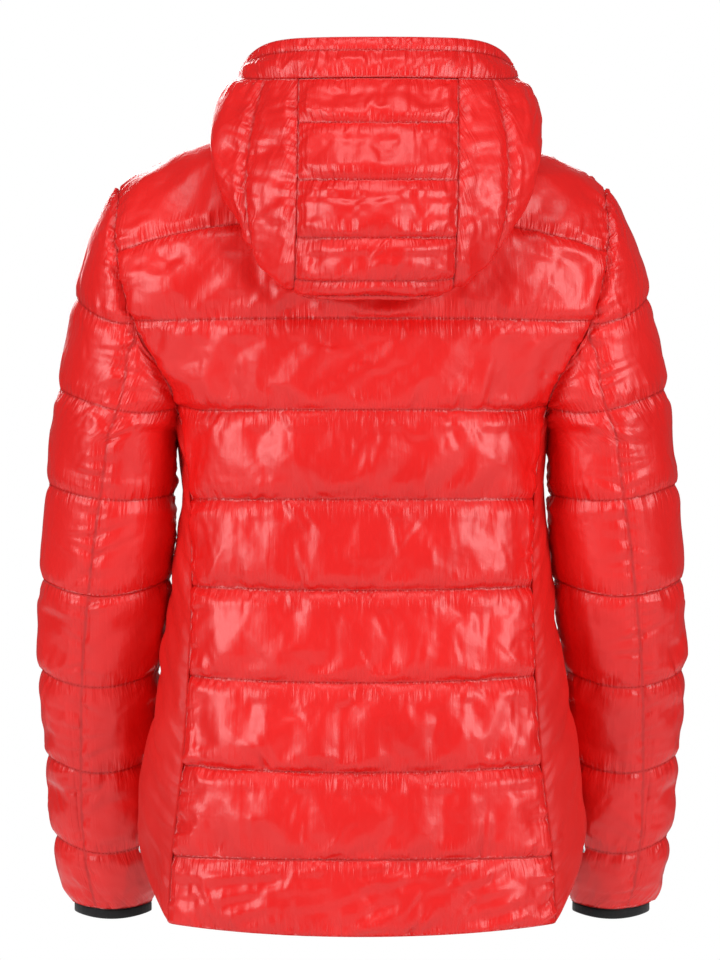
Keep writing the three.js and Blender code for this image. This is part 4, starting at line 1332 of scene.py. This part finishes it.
# ---------- loop and cuffs ----------
def hanger_loop():
    """A flat ribbed tape, folded down at both ends where it is caught in the neck seam."""
    route = [(-23, 681), (-22.6, 688), (-21.6, 693.5), (-20, 697), (-17.5, 698.8), (-14, 699), (14, 699),
             (17.5, 698.8), (20, 697), (21.6, 693.5), (22.6, 688), (23, 681)]
    x, z = np.array(route).T
    path = stack(x, 57, z)
    across = np.array([0, 1.0, 0])
    ahead = unit(np.gradient(path, axis=0))
    points, faces = sweep(path, across, np.cross(across, ahead), rounded(3.0, -0.95, 0.95, 0.4))
    make_piece("hanger_tape", points, faces, RIBBING, "jacket", ["hanger_loop"])


RIBS = 120  # round each cuff


def cuff_bindings():
    """A ribbed elastic binding that gathers each cuff."""
    for hand, side in SIDES.items():
        count = 2 * RIBS
        u = np.linspace(0.0015, 0.9985, count + 1)[:-1]
        path = sleeve_point(side, u, np.full(count, 8.7))
        inward = sleeve_inward(side, path)
        inward[:, 2] = 0
        inward = unit(inward)
        ribs = 0.3 * np.cos(np.arange(count) * math.pi)
        path = path + inward * (3.4 + ribs)[:, None]
        points, faces = sweep(path, (0, 0, 1), -inward, rounded(4.1, -2.2, 2.2, 1.2), closed=True)
        make_piece(f"{hand}_cuff_ribbing", points, faces, RIBBING, f"{hand}_lower_sleeve",
                   [f"{hand}_cuff_binding"])


# ---------- linings and flaps ----------
def cloth_sheet(name, surface, inward, ends, seams, middle, row, replaced, seed, under=0.0,
                thick=1.2, step=12.0):
    """A single layer of cloth at a depth under a panel, slightly rippled."""
    def below(u, v):
        p = surface(u, v)
        return p + inward(u, v, p) * under
    quilt = panel_quilt(name, below, inward, row, *ends, seams, middle, step=step, sink=0.0, depth=thick,
                        puckers=0.4, seed=seed)
    ripple = waves(quilt.rng, 10, 60, 160, run_along(quilt.surface, 1), run_along(quilt.surface, 0))
    quilt.shape = quilt.surface + quilt.inward * (0.5 + 0.5 * ripple)[..., None]
    quilt.back = quilt.shape + quilt.inward * thick
    piece = finish_quilt(quilt, LINING, stitched=False, crinkle=0.8)
    place_piece(piece, name)
    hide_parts(*replaced)


def flap_point(x, z):
    return on_zip(stack(x, 18.5, z))


def flap_inward(x, z, p):
    return stack(0 * x, np.ones_like(x), 0 * x)


BODY_UNDER = 14.6  # how far under the body's mean surface its lining hangs, mm


def linings():
    inward = plain(body_inward)
    cloth_sheet("back_lining_cloth", back_surface, inward, (-EDGE, EDGE), [30, 297.5, 531.5, 699], 0.0, 300,
                ["back_lining"], 60, under=BODY_UNDER)
    cloth_sheet("collar_lining_cloth", collar_point, collar_inward, (-COLLAR_END, COLLAR_END), [0.0, 1.0],
                0.0, 0.5, ["collar_lining"], 61, under=COLLAR["fill"] + 0.6)
    cloth_sheet("hood_lining_cloth", hood_point, hood_inward, (-HOOD_REACH, HOOD_REACH),
                [BRIM + 0.02, 0.8, 1.0], 0.0, 0.5, ["hood_lining"], 62, under=8.7)
    cloth_sheet("storm_flap_cloth", flap_point, flap_inward, (-20.0, 20.0), [2.0, 622.0], 0.0, 300,
                ["storm_flap"], 63, thick=1.6, step=8.0)
    for hand, side in SIDES.items():
        cloth_sheet(f"{hand}_front_lining_cloth", front_surface(side), inward, (0.0, 1.0),
                    [HEM_FRONT + 1, 300, 531.5, 699], 0.3, 300,
                    [f"{hand}_front_lining", f"{hand}_pocket_bag"], 64 + side,
                    under=BODY_UNDER)
        for part, rows in (("upper_sleeve", [ELBOW + 0.6, 472, 645]),
                           ("forearm", [CUFF + 0.8, 150, ELBOW - 0.6])):
            cloth_sheet(f"{hand}_{part}_lining_cloth", partial(sleeve_point, side),
                        plain(partial(sleeve_inward, side)), (0.0015, 0.9985), rows, ARM_FRONT, rows[1],
                        [f"{hand}_{part}_lining"], 70 + side, under=11.2)


def nape_gusset():
    thick = 0.9
    grid_u, grid_v = np.meshgrid(np.linspace(-NAPE["reach"], NAPE["reach"], 61),
                                 np.linspace(0, NAPE["tall"], 9))
    outer = nape_point(grid_u, grid_v)
    inner = outer + collar_inward(grid_u, grid_v) * thick
    rows, columns = grid_u.shape
    count = rows * columns
    edge = [*range(columns), *[columns * (k + 1) - 1 for k in range(1, rows)],
            *range(count - 2, count - columns - 1, -1), *[columns * k for k in range(rows - 2, 0, -1)]]
    faces = grid_faces(rows, columns).tolist() + grid_faces(rows, columns, count, flip=True).tolist()
    faces += [(b, a, a + count, b + count) for a, b in zip(edge, edge[1:] + edge[:1])]
    points = np.concatenate([outer.reshape(-1, 3), inner.reshape(-1, 3)])
    piece = make_piece("nape_gusset", points, faces, KNIT, None)
    nape_blend(piece)


main_zip()
hand_pockets()
nape_gusset()
hanger_loop()
cuff_bindings()
linings()

# The sliders, pullers and retainer box keep their own shapes.
METAL_NODES = ["zip_slider", "zip_puller", "zip_retainer_box", "left_pocket_slider", "right_pocket_slider",
               "left_pocket_puller", "right_pocket_puller"]
for name in METAL_NODES:
    frame["nodes"][name].data.materials.clear()
    frame["nodes"][name].data.materials.append(NICKEL)


# ---------- camera, light and stage ----------
ROOM_LIGHT = 0.13
SOFTBOXES = [  # name, place and aim in metres, size in metres, and watts
    ("key_left", (2.0, 1.7, 0.4), (0, 0, -0.3), (1.1, 1.8), 43),
    ("key_right", (-2.0, 1.7, 0.4), (0, 0, -0.3), (1.1, 1.8), 43),
    ("top", (0, 0.9, 1.9), (0, 0, -0.3), (1.5, 0.9), 17),
    ("front", (0.3, -2.4, 0.6), (0, 0, -0.3), (1.6, 1.2), 38),
]
FLOOR = {"z": -350, "half": 2}
CAMERA = {"away": 4.5, "height_seen": 0.845, "sensor": 36, "target": (1.8, 0, 392.5)}


def stage_and_light():
    scene = bpy.context.scene
    floor_mesh = bpy.data.meshes.new("floor")
    low, half = metres((0, 0, FLOOR["z"]))[2], FLOOR["half"]
    corners = [(-half, -half, low), (half, -half, low), (half, half, low), (-half, half, low)]
    floor_mesh.from_pydata(corners, [], [(0, 1, 2, 3)])
    material, tree = new_material("studio_paper")
    grain = node(tree, "TexNoise", values={"Scale": 40.0})
    tone = node(tree, "ValToRGB", links={"Fac": grain.outputs["Fac"]},
                stops=[(0.3, "#F2F2F2"), (0.7, "#F6F6F6")])
    shader = node(tree, "BsdfPrincipled", values={"Roughness": 0.9},
                  links={"Base Color": tone.outputs["Color"]})
    node(tree, "OutputMaterial", links={"Surface": shader.outputs["BSDF"]})
    floor_mesh.materials.append(material)
    floor = bpy.data.objects.new("floor", floor_mesh)
    scene.collection.objects.link(floor)

    world = bpy.data.worlds.new("studio")
    scene.world = world
    world.use_nodes = True
    tree = world.node_tree
    tree.nodes.clear()
    seen = node(tree, "LightPath").outputs["Is Camera Ray"]
    room = node(tree, "Background", values={"Color": (1, 1, 1, 1), "Strength": ROOM_LIGHT})
    paper = node(tree, "Background", values={"Color": (1, 1, 1, 1), "Strength": 1.0})
    both = node(tree, "MixShader", links={0: seen, 1: room.outputs[0], 2: paper.outputs[0]})
    node(tree, "OutputWorld", links={"Surface": both.outputs[0]})
    scene.view_settings.view_transform = "Standard"

    for name, place, aim, size, watts in SOFTBOXES:
        data = bpy.data.lights.new(name, "AREA")
        data.shape = "RECTANGLE"
        data.size, data.size_y = size
        data.energy = watts
        lamp = bpy.data.objects.new(name, data)
        scene.collection.objects.link(lamp)
        lamp.location = place
        way = mathutils.Vector(aim) - mathutils.Vector(place)
        lamp.rotation_euler = way.to_track_quat("-Z", "Y").to_euler()

    data = bpy.data.cameras.new("camera")
    camera = bpy.data.objects.new("camera", data)
    scene.collection.objects.link(camera)
    data.lens = CAMERA["sensor"] * CAMERA["away"] / CAMERA["height_seen"]
    data.clip_end = 30
    target = metres(CAMERA["target"])
    camera.location = (target[0], target[1] + CAMERA["away"], target[2])
    camera.rotation_euler = (math.pi / 2, 0, math.pi)
    scene.camera = camera


stage_and_light()
